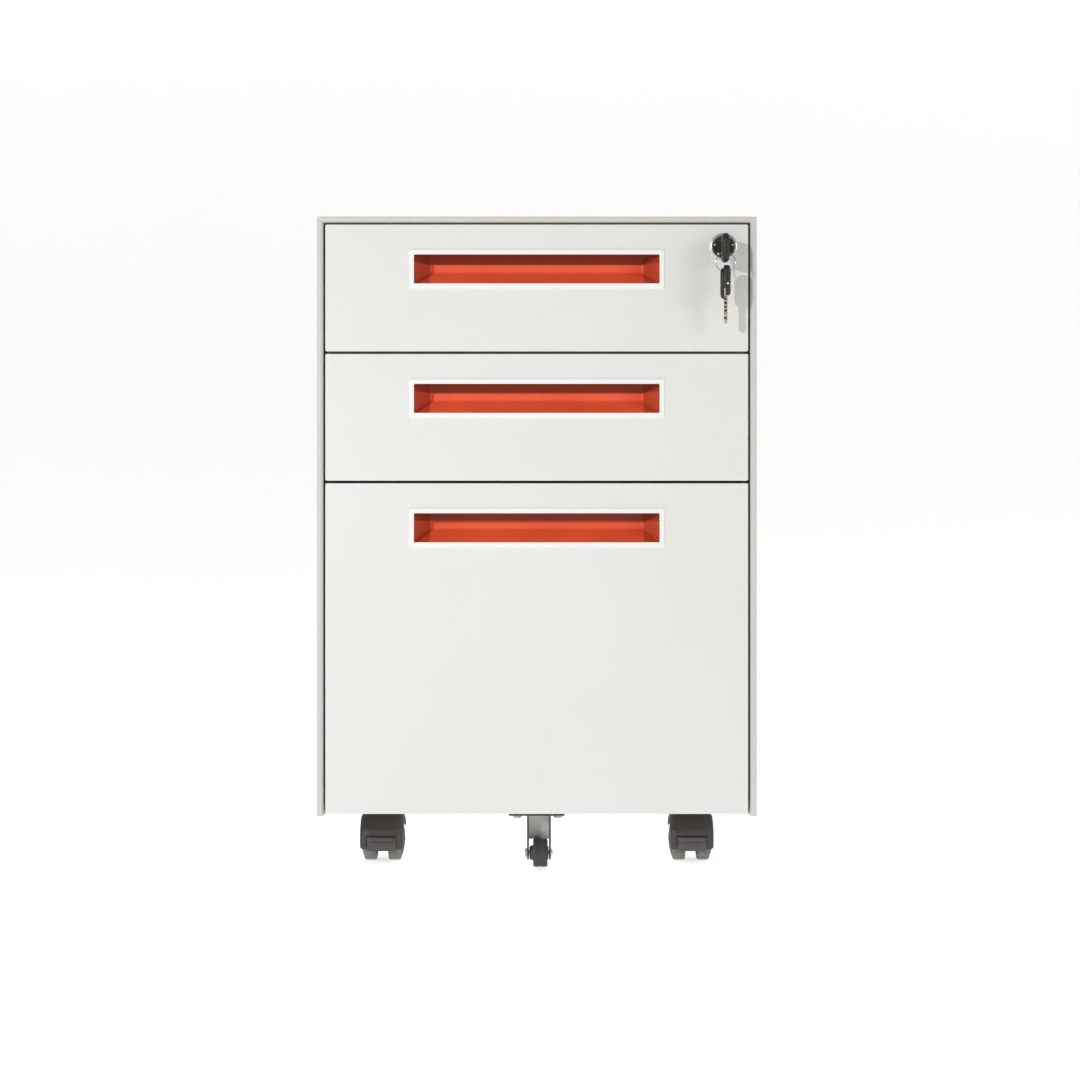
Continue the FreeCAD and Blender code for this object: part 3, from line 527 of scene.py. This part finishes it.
def sector(bm, profile, centre, start_deg, end_deg, steps):
    """A closed profile of (x, radius) swept about an X line, between angles up from straight ahead."""
    rows = []
    for k in range(steps + 1):
        turn = math.radians(start_deg + (end_deg - start_deg) * k / steps)
        out = Vector((0, -math.cos(turn), math.sin(turn)))
        rows.append([bm.verts.new(centre + X * x + out * radius) for x, radius in profile])
    count = len(profile)
    bm.faces.new(rows[0])
    bm.faces.new(rows[-1][::-1])
    for first, second in zip(rows, rows[1:]):
        for k in range(count):
            nxt = (k + 1) % count
            bm.faces.new((first[k], second[k], second[nxt], first[nxt]))


def in_metres(points):
    """Points given in millimetres, in metres."""
    return [(u * MM, v * MM) for u, v in points]


def upright(u, v, level):
    """The place of an outline's point (u, v) = (y, z) at x = level."""
    return Vector((level, u, v))


def mirrored_profile(half):
    """A profile completed by its own mirror image in x."""
    return half + [(-x, r) for x, r in reversed(half)]


# ---- casters: profiles are (from the middle along the axle, radius) in mm ----

WHEEL_TREAD = [
    (17.5, 0), (17.5, 2.58), (5.5, 2.58), (5.5, 6.0), (7.0, 7.0), (7.0, 15.2), (5.5, 16.2),
    (5.5, 19.0), (5.9, 19.7), (6.6, 20.0), (10.5, 20.0), (14.6, 20.0), (15.7, 19.7),
    (16.5, 19.0), (16.9, 18.1), (17.0, 17.2), (16.5, 17.0),
]
WHEEL_DISC = [
    (16.5, 16.6), (17.3, 16.4), (17.9, 15.0), (18.4, 13.5), (18.9, 11.4), (19.3, 9.6), (19.5, 8.4),
    (19.1, 8.1), (19.1, 7.4), (19.6, 7.1), (19.9, 5.6), (20.1, 3.8), (20.3, 1.8), (20.35, 0),
]
TREAD_INNER, TREAD_WIDE = 15.8, 17.1    # faces outside this radius and within this half width are tread


def caster_wheel(corner, letter):
    """A wheel of the pair: grey tread and a dished black disc with a domed hub."""
    node = "caster_wheel_%s_%s" % (corner, letter)
    axle_low, axle_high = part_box("caster_axle_" + corner)
    centre = (axle_low + axle_high) / 2
    side = 1 if letter == "b" else -1
    bm = bmesh.new()
    lathe(bm, in_metres(WHEEL_TREAD + WHEEL_DISC), X * side, centre, 56)
    for face in bm.faces:
        middle = face.calc_center_median() - centre
        radius = Vector((middle.y, middle.z)).length
        tread = radius > TREAD_INNER * MM and abs(middle.x) < TREAD_WIDE * MM
        face.material_index = 0 if tread else 1
    settle(piece_from("wheel_%s_%s" % (corner, letter), bm, [TREAD, WHEEL], 40), node)


HOOD_SHELL = mirrored_profile([
    (0, 24.0), (10.0, 24.0), (14.6, 23.9), (16.6, 23.5), (18.2, 22.6), (19.3, 21.3),
    (19.9, 19.8), (20.0, 18.4), (19.0, 18.2), (18.7, 19.8), (17.6, 20.9), (16.0, 21.4),
    (10.0, 21.4), (0, 21.4),
])
SHELL_START = {True: 10, False: -14}    # degrees up from straight ahead, with and without a brake
SHELL_END = 150
HOOD_WEB = [
    (-7, -4), (-4, -7), (4, -7), (7, -4), (14, 8), (20, 14), (20, 20), (9, 22.3), (-9, 22.3), (-7, 10),
]
WEB_HALF = 4.2
SWIVEL_BACK = 16.0                      # from the axle to the swivel stem
SOCKET = [(18.5, 4.1), (18.5, 8.4), (19.1, 9.0), (29.4, 9.0), (30.0, 8.4), (30.0, 4.1)]
CHEEK_INNER = 13.6
CHEEK = [(CHEEK_INNER, 24.0)] + HOOD_SHELL[2:HOOD_SHELL.index((16.0, 21.4)) + 1] + [(CHEEK_INNER, 21.4)]
LUG_INNER, LUG_OUTER, LUG_LOW, LUG_HIGH = 13.5, 16.5, 21.6, 25.2


def caster_hood(corner):
    """The hood: a rounded shell over both wheels, its centre web, socket and, in front, brake lugs."""
    node = "caster_hood_" + corner
    braked = corner.startswith("front")
    axle_low, axle_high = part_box("caster_axle_" + corner)
    centre = (axle_low + axle_high) / 2
    bm = bmesh.new()
    sector(bm, in_metres(HOOD_SHELL[1:-1]), centre, SHELL_START[braked], SHELL_END, 28)
    slab(bm, in_metres(HOOD_WEB), -WEB_HALF * MM, WEB_HALF * MM, lambda u, v, x: centre + upright(u, v, x))
    swivel = centre + Y * SWIVEL_BACK * MM
    lathe(bm, in_metres(SOCKET), Z, swivel, 40)
    if braked:
        for side in (-1, 1):
            sector(bm, [(side * x * MM, r * MM) for x, r in CHEEK], centre, -20, 11, 8)
            inner, outer = LUG_INNER * side, LUG_OUTER * side
            lug = [(inner, LUG_LOW), (outer, LUG_LOW), (outer, LUG_HIGH), (inner, LUG_HIGH)]
            sector(bm, in_metres(lug), centre, -3, 12.5, 5)
    piece = piece_from("hood_" + corner, bm, [HOOD], 34)
    soften(piece, 0.35 * MM, 34)
    piece.data.set_sharp_from_angle(angle=math.radians(40))
    settle(piece, node)


def casters():
    for corner in CORNERS:
        caster_hood(corner)
        for letter in "ab":
            caster_wheel(corner, letter)
    for side in ("left", "right"):
        soft_copy("brake_pedal_" + side, "pedal_" + side, 0.5 * MM, PEDAL)


# ---- anti-tip wheel ----

TREAD_SHIFT = 1.2                       # the tread stands this far right of the hub's middle
TIP_HUB = [(8.4, 2.58), (8.5, 5.2), (8.2, 5.8), (7.9, 6.0)]
TIP_RIM = [
    (6.3, 7.0), (6.2, 9.6), (6.5, 10.4), (6.4, 11.8), (5.6, 12.4), (4.4, 12.5), (1.2, 12.5), (0.6, 12.3),
]
BOLT_HEAD, NUT_REACH = 2.2, 2.2         # how far the head and the nut stand out from the fork


def anti_tip():
    """A narrow black wheel on a bolt, in its folded fork."""
    low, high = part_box("anti_tip_wheel")
    centre = (low + high) / 2
    right = TIP_HUB + [(x + TREAD_SHIFT, r) for x, r in TIP_RIM]
    left = [(-x, r) for x, r in TIP_HUB] + [(TREAD_SHIFT - x, r) for x, r in TIP_RIM]
    bm = bmesh.new()
    lathe(bm, in_metres(right + left[::-1]), X, centre, 48)
    settle(piece_from("anti_tip_roller", bm, [WHEEL], 36), "anti_tip_wheel")
    fork = soft_copy("anti_tip_bracket", "anti_tip_fork", 0.25 * MM, DULL_ZINC)
    # Its front faces take the near-black finish: sheared edges, darkened further as painted shade.
    fork.data.materials.append(CUT_EDGE_SHADE)
    for face in fork.data.polygons:
        if face.normal.y < -0.55 and face.center.y < centre.y:
            face.material_index = 1
    anti_tip_bolt(centre)


def anti_tip_bolt(centre):
    """A round-headed bolt with a yellow nut on its left end."""
    fork_low, fork_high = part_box("anti_tip_bolt")
    right, left = (fork_high - centre).x / MM, (fork_low - centre).x / MM
    head = right - BOLT_HEAD
    shank = [(left, 0), (left, 2.0), (left + 0.5, 2.5), (head, 2.5), (head, 3.8), (head + 0.7, 3.75)]
    shank += [(head + 1.5, 3.1), (right - 0.3, 2.2), (right - 0.3, 1.4), (right - 0.9, 1.2), (right - 0.9, 0)]
    bm = bmesh.new()
    lathe(bm, in_metres(shank), X, centre, 32)
    nut_end, bears = left + 0.2, left + NUT_REACH
    nut = [(nut_end, 2.5), (nut_end, 3.5), (nut_end + 0.4, 4.0), (bears, 4.0), (bears, 2.5)]
    lathe(bm, in_metres(nut), X, centre, 6, 1)
    settle(piece_from("anti_tip_bolt_and_nut", bm, [CHROME, BRASS], 25), "anti_tip_bolt")


# ---- lock and keys ----

PIP_TURNS = (12, 60, 168, 232)
PIP_OUT = 7.9
PIP = [(-0.35, 0), (-0.3, 0.5), (-0.1, 0.8), (0.5, 0.8), (0.5, 0)]
KEY_CUTS = (0.6, 0.6, 1.2, 0.8, 1.5, 0.9)
SPARE_CUTS = (1.4, 0.7, 1.9, 1.1, 2.2, 0.8, 1.5, 0.9, 0.2, 0.2, 0.2, 0.2)
KEY_BLADE_HALF, SPARE_BLADE_HALF = 0.9, 1.25
SPARE_HALF, SPARE_LONG = 7, 29.5        # the scales' half width and length
SPARE_TURN = -10                        # degrees about Z
SPARE_RIVET_DROP = 16.7
SPARE_HOLE_R = 3.3
RIVET = [(-4.4, 0), (-4.3, 0.8), (-4.0, 1.4), (4.0, 1.4), (4.3, 0.8), (4.4, 0)]
GLINT_PIN = [(-7.25, 0), (-7.2, 0.5), (-7.0, 0.85), (-6.0, 0.85), (-6.0, 0)]


def lock_face():
    """The chrome face ring and barrel."""
    low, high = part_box("lock_housing")
    centre = Vector(((low.x + high.x) / 2, low.y, (low.z + high.z) / 2))
    ring = [(0.3, 9.8), (0, 10.3), (0, 11.0), (0.25, 11.6), (0.8, 12.0), (2.5, 12.0), (2.5, 10.5)]
    ring += [(22.0, 10.5), (22.0, 7.5), (2.5, 7.5), (2.5, 9.8)]
    bm = bmesh.new()
    lathe(bm, in_metres(ring), Y, centre, 72)
    settle(piece_from("lock_barrel", bm, [CHROME], 30), "lock_housing")


def lock_plug():
    """The black plug face with its groove and bright pips."""
    low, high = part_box("lock_plug")
    centre = Vector(((low.x + high.x) / 2, low.y, (low.z + high.z) / 2))
    face = [(0, 0), (0, 6.0), (0.35, 6.3), (0.35, 6.9), (0, 7.2), (0, 9.0), (0.4, 9.5), (2.4, 9.5)]
    face += [(2.4, 7.4), ((high.y - low.y) / MM, 7.4), ((high.y - low.y) / MM, 0)]
    bm = bmesh.new()
    lathe(bm, in_metres(face), Y, centre, 72)
    for turn in PIP_TURNS:
        angle = math.radians(turn)
        spot = centre + (X * math.cos(angle) + Z * math.sin(angle)) * PIP_OUT * MM
        lathe(bm, in_metres(PIP), Y, spot, 12, 1)
    settle(piece_from("lock_plug_face", bm, [LOCK_BLACK, CHROME], 30), "lock_plug")


def hanging_outline(y0, y1, z0, z1, cuts):
    """The (y, z) outline of a blade that points down, its front edge cut to the given depths in mm."""
    step = (z1 - z0) / (len(cuts) + 1)
    outline = [(y0, z0 + 1.2 * MM), (y0 + 1.5 * MM, z0), (y1 - 2.0 * MM, z0)]
    for k, cut in enumerate(cuts):
        z = z0 + step * (k + 0.6)
        outline += [(y1 - cut * MM, z), (y1 - cut * MM, z + 0.35 * step), (y1 - 0.3 * MM, z + 0.75 * step)]
    outline += [(y1, z1), (y0, z1)]
    return [(y0 + y1 - y, z) for y, z in outline]


def inserted_outline(y0, y1, z0, z1, cuts):
    """The (y, z) outline of a blade that points into the lock, its lower edge cut."""
    step = (y1 - y0) / (len(cuts) + 1)
    outline = [(y1, z1 - 1.5 * MM), (y1 - 1.2 * MM, z1), (y0, z1), (y0, z0)]
    for k, cut in enumerate(cuts):
        y = y0 + step * (k + 0.5)
        outline += [(y, z0 + 0.3 * MM), (y + 0.35 * step, z0 + cut * MM), (y + 0.65 * step, z0 + cut * MM)]
    return outline + [(y1, z0 + 1.0 * MM)]


def blade(bm, outline, centre_x, half):
    """A flat steel blade of a (y, z) outline."""
    slab(bm, outline, centre_x - half, centre_x + half, upright, 1)


def key():
    """The key in the lock: a bitted steel blade and a rounded black bow with a long hole."""
    low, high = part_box("key")
    plug_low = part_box("lock_plug")[0]
    middle = (low.x + high.x) / 2
    bow_back = plug_low.y - 7.2 * MM
    bm = bmesh.new()
    outer = rounded_outline((low.y, low.z), (bow_back, high.z), 8.0 * MM, 7)
    ring_y = sum(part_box("key_ring")[k].y for k in (0, 1)) / 2
    hole = [(ring_y, low.z + 9.7 * MM), (ring_y, high.z - 9.8 * MM)]
    hollow = arc(hole[1], 3.2 * MM, 0, 180, 15) + arc(hole[0], 3.2 * MM, 180, 360, 15)
    levels = [(-3.0, 2.4), (-2.8, 1.5), (-2.3, 0.7), (-1.5, 0.15), (-0.8, 0.0)]
    levels += [(-x, inset) for x, inset in reversed(levels)]
    centre = Vector((middle, (low.y + bow_back) / 2, (low.z + high.z) / 2))
    pierced_slab(bm, outer, hollow, levels, centre)
    steel_y = (bow_back - 0.5 * MM, plug_low.y + 17.8 * MM)
    half = 3.7 * MM
    z = (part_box("lock_plug")[0].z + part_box("lock_plug")[1].z) / 2
    outline = inserted_outline(*steel_y, z - half, z + half, KEY_CUTS)
    blade(bm, outline, middle, KEY_BLADE_HALF * MM)
    settle(piece_from("key_in_lock", bm, [BLACK, KEY_STEEL], 34), "key")


def pierced_slab(bm, outer, hollow, levels, centre):
    """A thick ring between two equally long outlines, edges eased; levels are (x, inset) in mm."""
    loops = []
    for level, inset in levels:
        shrink = [1 - inset * MM / (Vector(p) - Vector((centre.y, centre.z))).length for p in outer]
        points = [
            Vector((centre.x + level * MM, centre.y + (u - centre.y) * s, centre.z + (v - centre.z) * s))
            for (u, v), s in zip(outer, shrink)
        ]
        loops.append([bm.verts.new(p) for p in points])
    for level in (levels[-1][0], levels[0][0]):
        loops.append([bm.verts.new(Vector((centre.x + level * MM, u, v))) for u, v in hollow])
    count = len(outer)
    for first, second in zip(loops, loops[1:] + loops[:1]):
        for k in range(count):
            nxt = (k + 1) % count
            bm.faces.new((first[k], first[nxt], second[nxt], second[k]))


def key_ring():
    """A split ring: two turns of round wire, one against the other."""
    low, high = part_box("key_ring")
    centre = (low + high) / 2
    wire, turns, steps = 0.5 * MM, 2.0, 120
    radius = (high.z - low.z) / 2 - wire - 0.02 * MM
    bm = bmesh.new()
    rows = []
    for k in range(steps + 1):
        share = k / steps
        turn = 2 * math.pi * (turns * share + 0.3)
        out = Vector((math.cos(turn), 0, math.sin(turn)))
        at = centre + out * radius + Y * (share - 0.5) * 2 * wire * 0.98
        spots = [2 * math.pi * j / 10 for j in range(10)]
        rows.append([bm.verts.new(at + (out * math.cos(t) + Y * math.sin(t)) * wire) for t in spots])
    bm.faces.new(rows[0])
    bm.faces.new(rows[-1][::-1])
    for first, second in zip(rows, rows[1:]):
        for j in range(10):
            nxt = (j + 1) % 10
            bm.faces.new((first[j], second[j], second[nxt], first[nxt]))
    settle(piece_from("split_ring", bm, [RING_WIRE], 50), "key_ring")


def spare_key():
    """The spare key, edge on: two black scales, a bright rivet, a white pin that is a painted highlight and a
    brassy bitted blade.
    """
    low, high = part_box("spare_key")
    ring_low, ring_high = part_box("key_ring")
    origin = Vector(((ring_low.x + ring_high.x) / 2, (ring_low.y + ring_high.y) / 2, 0))
    top = high.z
    bm = bmesh.new()
    for side, drop in ((-1, 0.0), (1, 3.0)):
        crown = top - (2.6 * MM if side < 0 else 0.0)
        half, foot = SPARE_HALF * MM, top - (SPARE_LONG - drop) * MM
        outer = rounded_outline((-half, foot), (half, crown), 6.0 * MM, 7)
        hollow = arc((0, top - 3.9 * MM - 3.4 * MM), SPARE_HOLE_R * MM, 0, 180, 15)
        hollow += arc((0, top - 7.3 * MM), SPARE_HOLE_R * MM, 180, 360, 15)
        inner, outmost = (-1.2, 4.1) if side > 0 else (-1.35, -4.1)
        levels = [(inner, 0.5), (inner + side * 0.4, 0.1), (inner + side * 0.8, 0.0)]
        levels += [(outmost - side * back, inset) for back, inset in ((1.5, 0.0), (0.9, 0.25), (0.3, 0.9))]
        levels += [(outmost, 1.7)]
        centre = Vector((0, 0, top - (SPARE_LONG - drop) / 2 * MM))
        pierced_slab(bm, outer, hollow, levels, centre)
    blade(bm, hanging_outline(-2 * MM, 5 * MM, low.z, top - 8 * MM, SPARE_CUTS), 0.0, SPARE_BLADE_HALF * MM)
    darken_cuts(bm, top - SPARE_LONG * MM)
    front, back, foot, head = -6.95 * MM, 4 * MM, top - 27.5 * MM, top - 11 * MM
    blade(bm, [(front, foot), (back, foot), (back, head), (front, head)], 0.0, 0.6 * MM)
    rivet_z = top - SPARE_RIVET_DROP * MM
    lathe(bm, in_metres(RIVET), X, Vector((0, 1.5 * MM, rivet_z)), 20, 2)
    # A pin in the white highlight finish: a painted highlight where a glint shows.
    lathe(bm, in_metres(GLINT_PIN), Y, Vector((2.7 * MM, 0, rivet_z)), 16, 4)
    turn = Matrix.Translation(origin) @ Matrix.Rotation(math.radians(SPARE_TURN), 4, "Z")
    bmesh.ops.transform(bm, matrix=turn, verts=bm.verts)
    settle(piece_from("spare_key_hanging", bm, [BLACK, KEY_STEEL, CHROME, KEY_CUT_SHADE, WHITE_HIGHLIGHT], 34), "spare_key")


def darken_cuts(bm, below):
    """The sloping faces of the blade's cuts, lower than a height, get a dark finish: painted shade."""
    bm.normal_update()
    for face in bm.faces:
        steep = abs(face.normal.z) > 0.3
        if face.material_index == 1 and steep and face.calc_center_median().z < below:
            face.material_index = 3


# ---- repeated pieces, placed by geometry nodes ----

def placing_tree(name, finish):
    """A node tree that sets one small mesh at each point, aims it by the point's 'aim' and rolls it."""
    tree = bpy.data.node_groups.new(name, "GeometryNodeTree")
    face = tree.interface
    face.new_socket("Points", in_out="INPUT", socket_type="NodeSocketGeometry")
    face.new_socket("Pattern", in_out="INPUT", socket_type="NodeSocketObject")
    face.new_socket("Size", in_out="INPUT", socket_type="NodeSocketFloat")
    face.new_socket("Roll", in_out="INPUT", socket_type="NodeSocketFloat")
    face.new_socket("Seed", in_out="INPUT", socket_type="NodeSocketInt")
    face.new_socket("Placed", in_out="OUTPUT", socket_type="NodeSocketGeometry")
    new, link = tree.nodes.new, tree.links.new
    start, end = new("NodeGroupInput"), new("NodeGroupOutput")
    pattern = new("GeometryNodeObjectInfo")
    aim = new("GeometryNodeInputNamedAttribute")
    aim.data_type = "FLOAT_VECTOR"
    aim.inputs["Name"].default_value = "aim"
    turned = new("FunctionNodeAlignRotationToVector")
    turned.axis = "Z"
    roll = new("FunctionNodeRandomValue")
    roll.data_type = "FLOAT"
    spin = new("FunctionNodeAxisAngleToRotation")
    spin.inputs["Axis"].default_value = (0, 0, 1)
    both = new("FunctionNodeRotateRotation")
    both.rotation_space = "LOCAL"
    place = new("GeometryNodeInstanceOnPoints")
    real = new("GeometryNodeRealizeInstances")
    paint = new("GeometryNodeSetMaterial")
    paint.inputs["Material"].default_value = finish
    link(start.outputs["Points"], place.inputs["Points"])
    link(start.outputs["Pattern"], pattern.inputs["Object"])
    link(pattern.outputs["Geometry"], place.inputs["Instance"])
    link(aim.outputs[0], turned.inputs["Vector"])
    link(start.outputs["Roll"], roll.inputs[3])
    link(start.outputs["Seed"], roll.inputs["Seed"])
    link(roll.outputs[1], spin.inputs["Angle"])
    link(turned.outputs[0], both.inputs["Rotation"])
    link(spin.outputs[0], both.inputs["Rotate By"])
    link(both.outputs[0], place.inputs["Rotation"])
    link(start.outputs["Size"], place.inputs["Scale"])
    link(place.outputs[0], real.inputs[0])
    link(real.outputs[0], paint.inputs["Geometry"])
    link(paint.outputs[0], end.inputs[0])
    return tree


def scatter(name, pattern, spots, finish, seed, roll=0.0):
    """A small pattern mesh at each (point, aim), worked out by the node tree into one plain mesh."""
    mesh = bpy.data.meshes.new(name)
    mesh.from_pydata([tuple(spot) for spot, aim in spots], [], [])
    aims = mesh.attributes.new("aim", "FLOAT_VECTOR", "POINT")
    for slot, (spot, aim) in zip(aims.data, spots):
        slot.vector = aim
    piece = bpy.data.objects.new(name, mesh)
    bpy.context.collection.objects.link(piece)
    tree = placing_tree(name + "_placing", finish)
    modifier = piece.modifiers.new("placing", "NODES")
    modifier.node_group = tree
    names = {item.name: item.identifier for item in tree.interface.items_tree if item.in_out == "INPUT"}
    modifier[names["Pattern"]] = pattern
    modifier[names["Size"]] = 1.0
    modifier[names["Roll"]] = roll
    modifier[names["Seed"]] = seed
    bake_modifiers(piece)
    bpy.data.objects.remove(pattern)
    for face in piece.data.polygons:
        face.use_smooth = True
    piece.data.set_sharp_from_angle(angle=math.radians(35))
    return piece


def screw_pattern(head_radius, head_tall, shank_radius, shank_long):
    """A pan head with a cross recess, facing +Z; rings are (share of radius, share of height, sunk)."""
    steps = 16
    arms = range(0, steps, steps // 4)
    rings = [(0.24, 1.0, 0.45), (0.50, 0.98, 0.30), (0.66, 0.94, 0.0)]
    rings += [(0.90, 0.62, 0.0), (1.0, 0.25, 0.0), (1.0, 0.0, 0.0)]
    bm = bmesh.new()
    rows = []
    for index, (share, level, sunk) in enumerate(rings):
        row = []
        for k in range(steps):
            turn = 2 * math.pi * k / steps
            z = level - (sunk if k in arms or index == 0 else 0)
            x, y = math.cos(turn) * share * head_radius, math.sin(turn) * share * head_radius
            row.append(bm.verts.new((x, y, z * head_tall)))
        rows.append(row)
    for level in (0, -shank_long):
        spots = arc((0, 0), shank_radius, 0, 360, steps)[:-1]
        rows.append([bm.verts.new((x, y, level)) for x, y in spots])
    for first, second in zip(rows, rows[1:]):
        for k in range(steps):
            nxt = (k + 1) % steps
            bm.faces.new((first[k], second[k], second[nxt], first[nxt]))
    bm.faces.new(rows[0])
    bm.faces.new(rows[-1][::-1])
    return piece_from("screw_pattern", bm, [], 35)


SHANK_R = 2.0


def screws_for(node, name, aim_of, head_tall, seed, finish):
    """The screws of a CAD node, each with its head's top where the CAD head ends."""
    spots = []
    for low, high in islands(node):
        middle = (low + high) / 2
        aim = aim_of(middle)
        reach = max(abs(aim.dot(high - middle)), abs(aim.dot(low - middle)))
        spots.append((middle + aim * (reach - head_tall), aim))
        across = sorted(high - low)
        length = 2 * reach - head_tall
    pattern = screw_pattern(across[1] / 2, head_tall, SHANK_R * MM, length)
    settle(scatter(name, pattern, spots, finish, seed, roll=math.pi), node)


def inward(at):
    """The way toward the cabinet's middle along X."""
    return X * (-1 if at.x > 0 else 1)


def downward(at):
    return -Z


def fasteners():
    """Slide screws face into the cabinet; caster and anti-tip screws face the floor."""
    screws_for("slide_screws", "slide_screw_set", inward, 1.1 * MM, 3, ZINC)
    screws_for("caster_bolts", "caster_bolt_set", downward, 1.8 * MM, 5, ZINC)
    screws_for("anti_tip_screws", "anti_tip_screw_set", downward, 3.0 * MM, 7, SCREW_STEEL)


BALL_R, BALL_PITCH, BALL_COUNT = 1.22, 4.2, 7
BALL_STARTS = (0.06, 0.30, 0.58, 0.86)  # where each cage of balls begins, as a share of the length


def slide_balls():
    """Steel balls between the members of each telescopic slide."""
    for number in DRAWERS:
        spots = []
        for low, high in islands("slide_mids_%d" % number):
            middle = (low + high) / 2
            half_tall = (high.z - low.z) / 2
            side = 1 if middle.x > 0 else -1
            x = middle.x - side * 0.75 * MM
            for level in (half_tall + 1.3 * MM, half_tall - 2.3 * MM):
                for sign in (-1, 1):
                    for start in BALL_STARTS:
                        for k in range(BALL_COUNT):
                            y = low.y + (high.y - low.y) * start + k * BALL_PITCH * MM
                            spots.append((Vector((x, y, middle.z + sign * level)), Z))
        bm = bmesh.new()
        bmesh.ops.create_icosphere(bm, subdivisions=1, radius=BALL_R * MM)
        pattern = piece_from("ball_pattern", bm, [], 80)
        piece = scatter("slide_balls_%d" % number, pattern, spots, CHROME, 11 + number)
        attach(piece, "slide_mids_%d" % number)


WELD_INSET, WELD_PITCH = 7.0, 56.0


def spot_welds():
    """Shallow weld dimples round the edge of the back sheet."""
    low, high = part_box("back_panel")
    inset = WELD_INSET * MM
    tall = high.z - low.z - 4 * inset
    count = int(tall / (WELD_PITCH * MM))
    spots = []
    for x in (low.x + inset, high.x - inset):
        for k in range(count + 1):
            spots.append((Vector((x, high.y, low.z + 2 * inset + k * tall / count)), Y))
    for k in range(6):
        x = low.x + 3 * inset + k * (high.x - low.x - 6 * inset) / 5
        spots.append((Vector((x, high.y, low.z + inset)), Y))
    profile = [(-0.2, 0), (-0.2, 2.6), (0.0, 2.6), (0.12, 2.2), (0.05, 1.7), (0.02, 0)]
    bm = bmesh.new()
    lathe(bm, in_metres(profile), Z, Vector((0, 0, 0)), 16)
    pattern = piece_from("weld_pattern", bm, [], 60)
    piece = scatter("back_spot_welds", pattern, spots, PAINT_SHADED, 21, roll=math.pi)
    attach(piece, body_of("back_panel"))


# ---------------------------------------------------------------- the whole part

def dress_frame():
    """Materials for the CAD nodes that stay as they are."""
    by_slot = {
        "white_paint": PAINT, "orange_plastic": ORANGE[0], "zinc_steel": ZINC, "chrome": CHROME,
        "wire_steel": RING_WIRE, "black_plastic": BLACK, "hood_plastic": HOOD, "wheel_plastic": WHEEL,
    }
    for entry in frame["record"]["subparts"]:
        dress(entry["node"], by_slot[entry["material_slot"]])
    # The carcass sheets take the darker copy of the white paint, a painted shade.
    for node in ("side_panel_left", "side_panel_right", "top_panel", "back_panel"):
        dress(node, PAINT_SHADED)
    for number in DRAWERS:
        dress("drawer_box_%d" % number, PAINT_INSIDE)
        dress("drawer_liner_%d" % number, PAINT_INSIDE)
        dress("handle_cup_%d" % number, ORANGE[number - 1])
        paint_rim_highlight("drawer_front_%d" % number)


def paint_rim_highlight(node):
    """The raised rim round a handle opening gets a brighter copy of the white paint: a painted highlight."""
    mesh = frame["nodes"][node].data
    mesh.materials.append(WHITE_HIGHLIGHT)
    sheet_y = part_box("side_panel_left")[0].y
    for face in mesh.polygons:
        if face.center.y < sheet_y - 0.05 * MM:
            face.material_index = 1


dress_frame()
casters()
anti_tip()
lock_face()
lock_plug()
key()
key_ring()
spare_key()
fasteners()
slide_balls()
spot_welds()
make_studio()
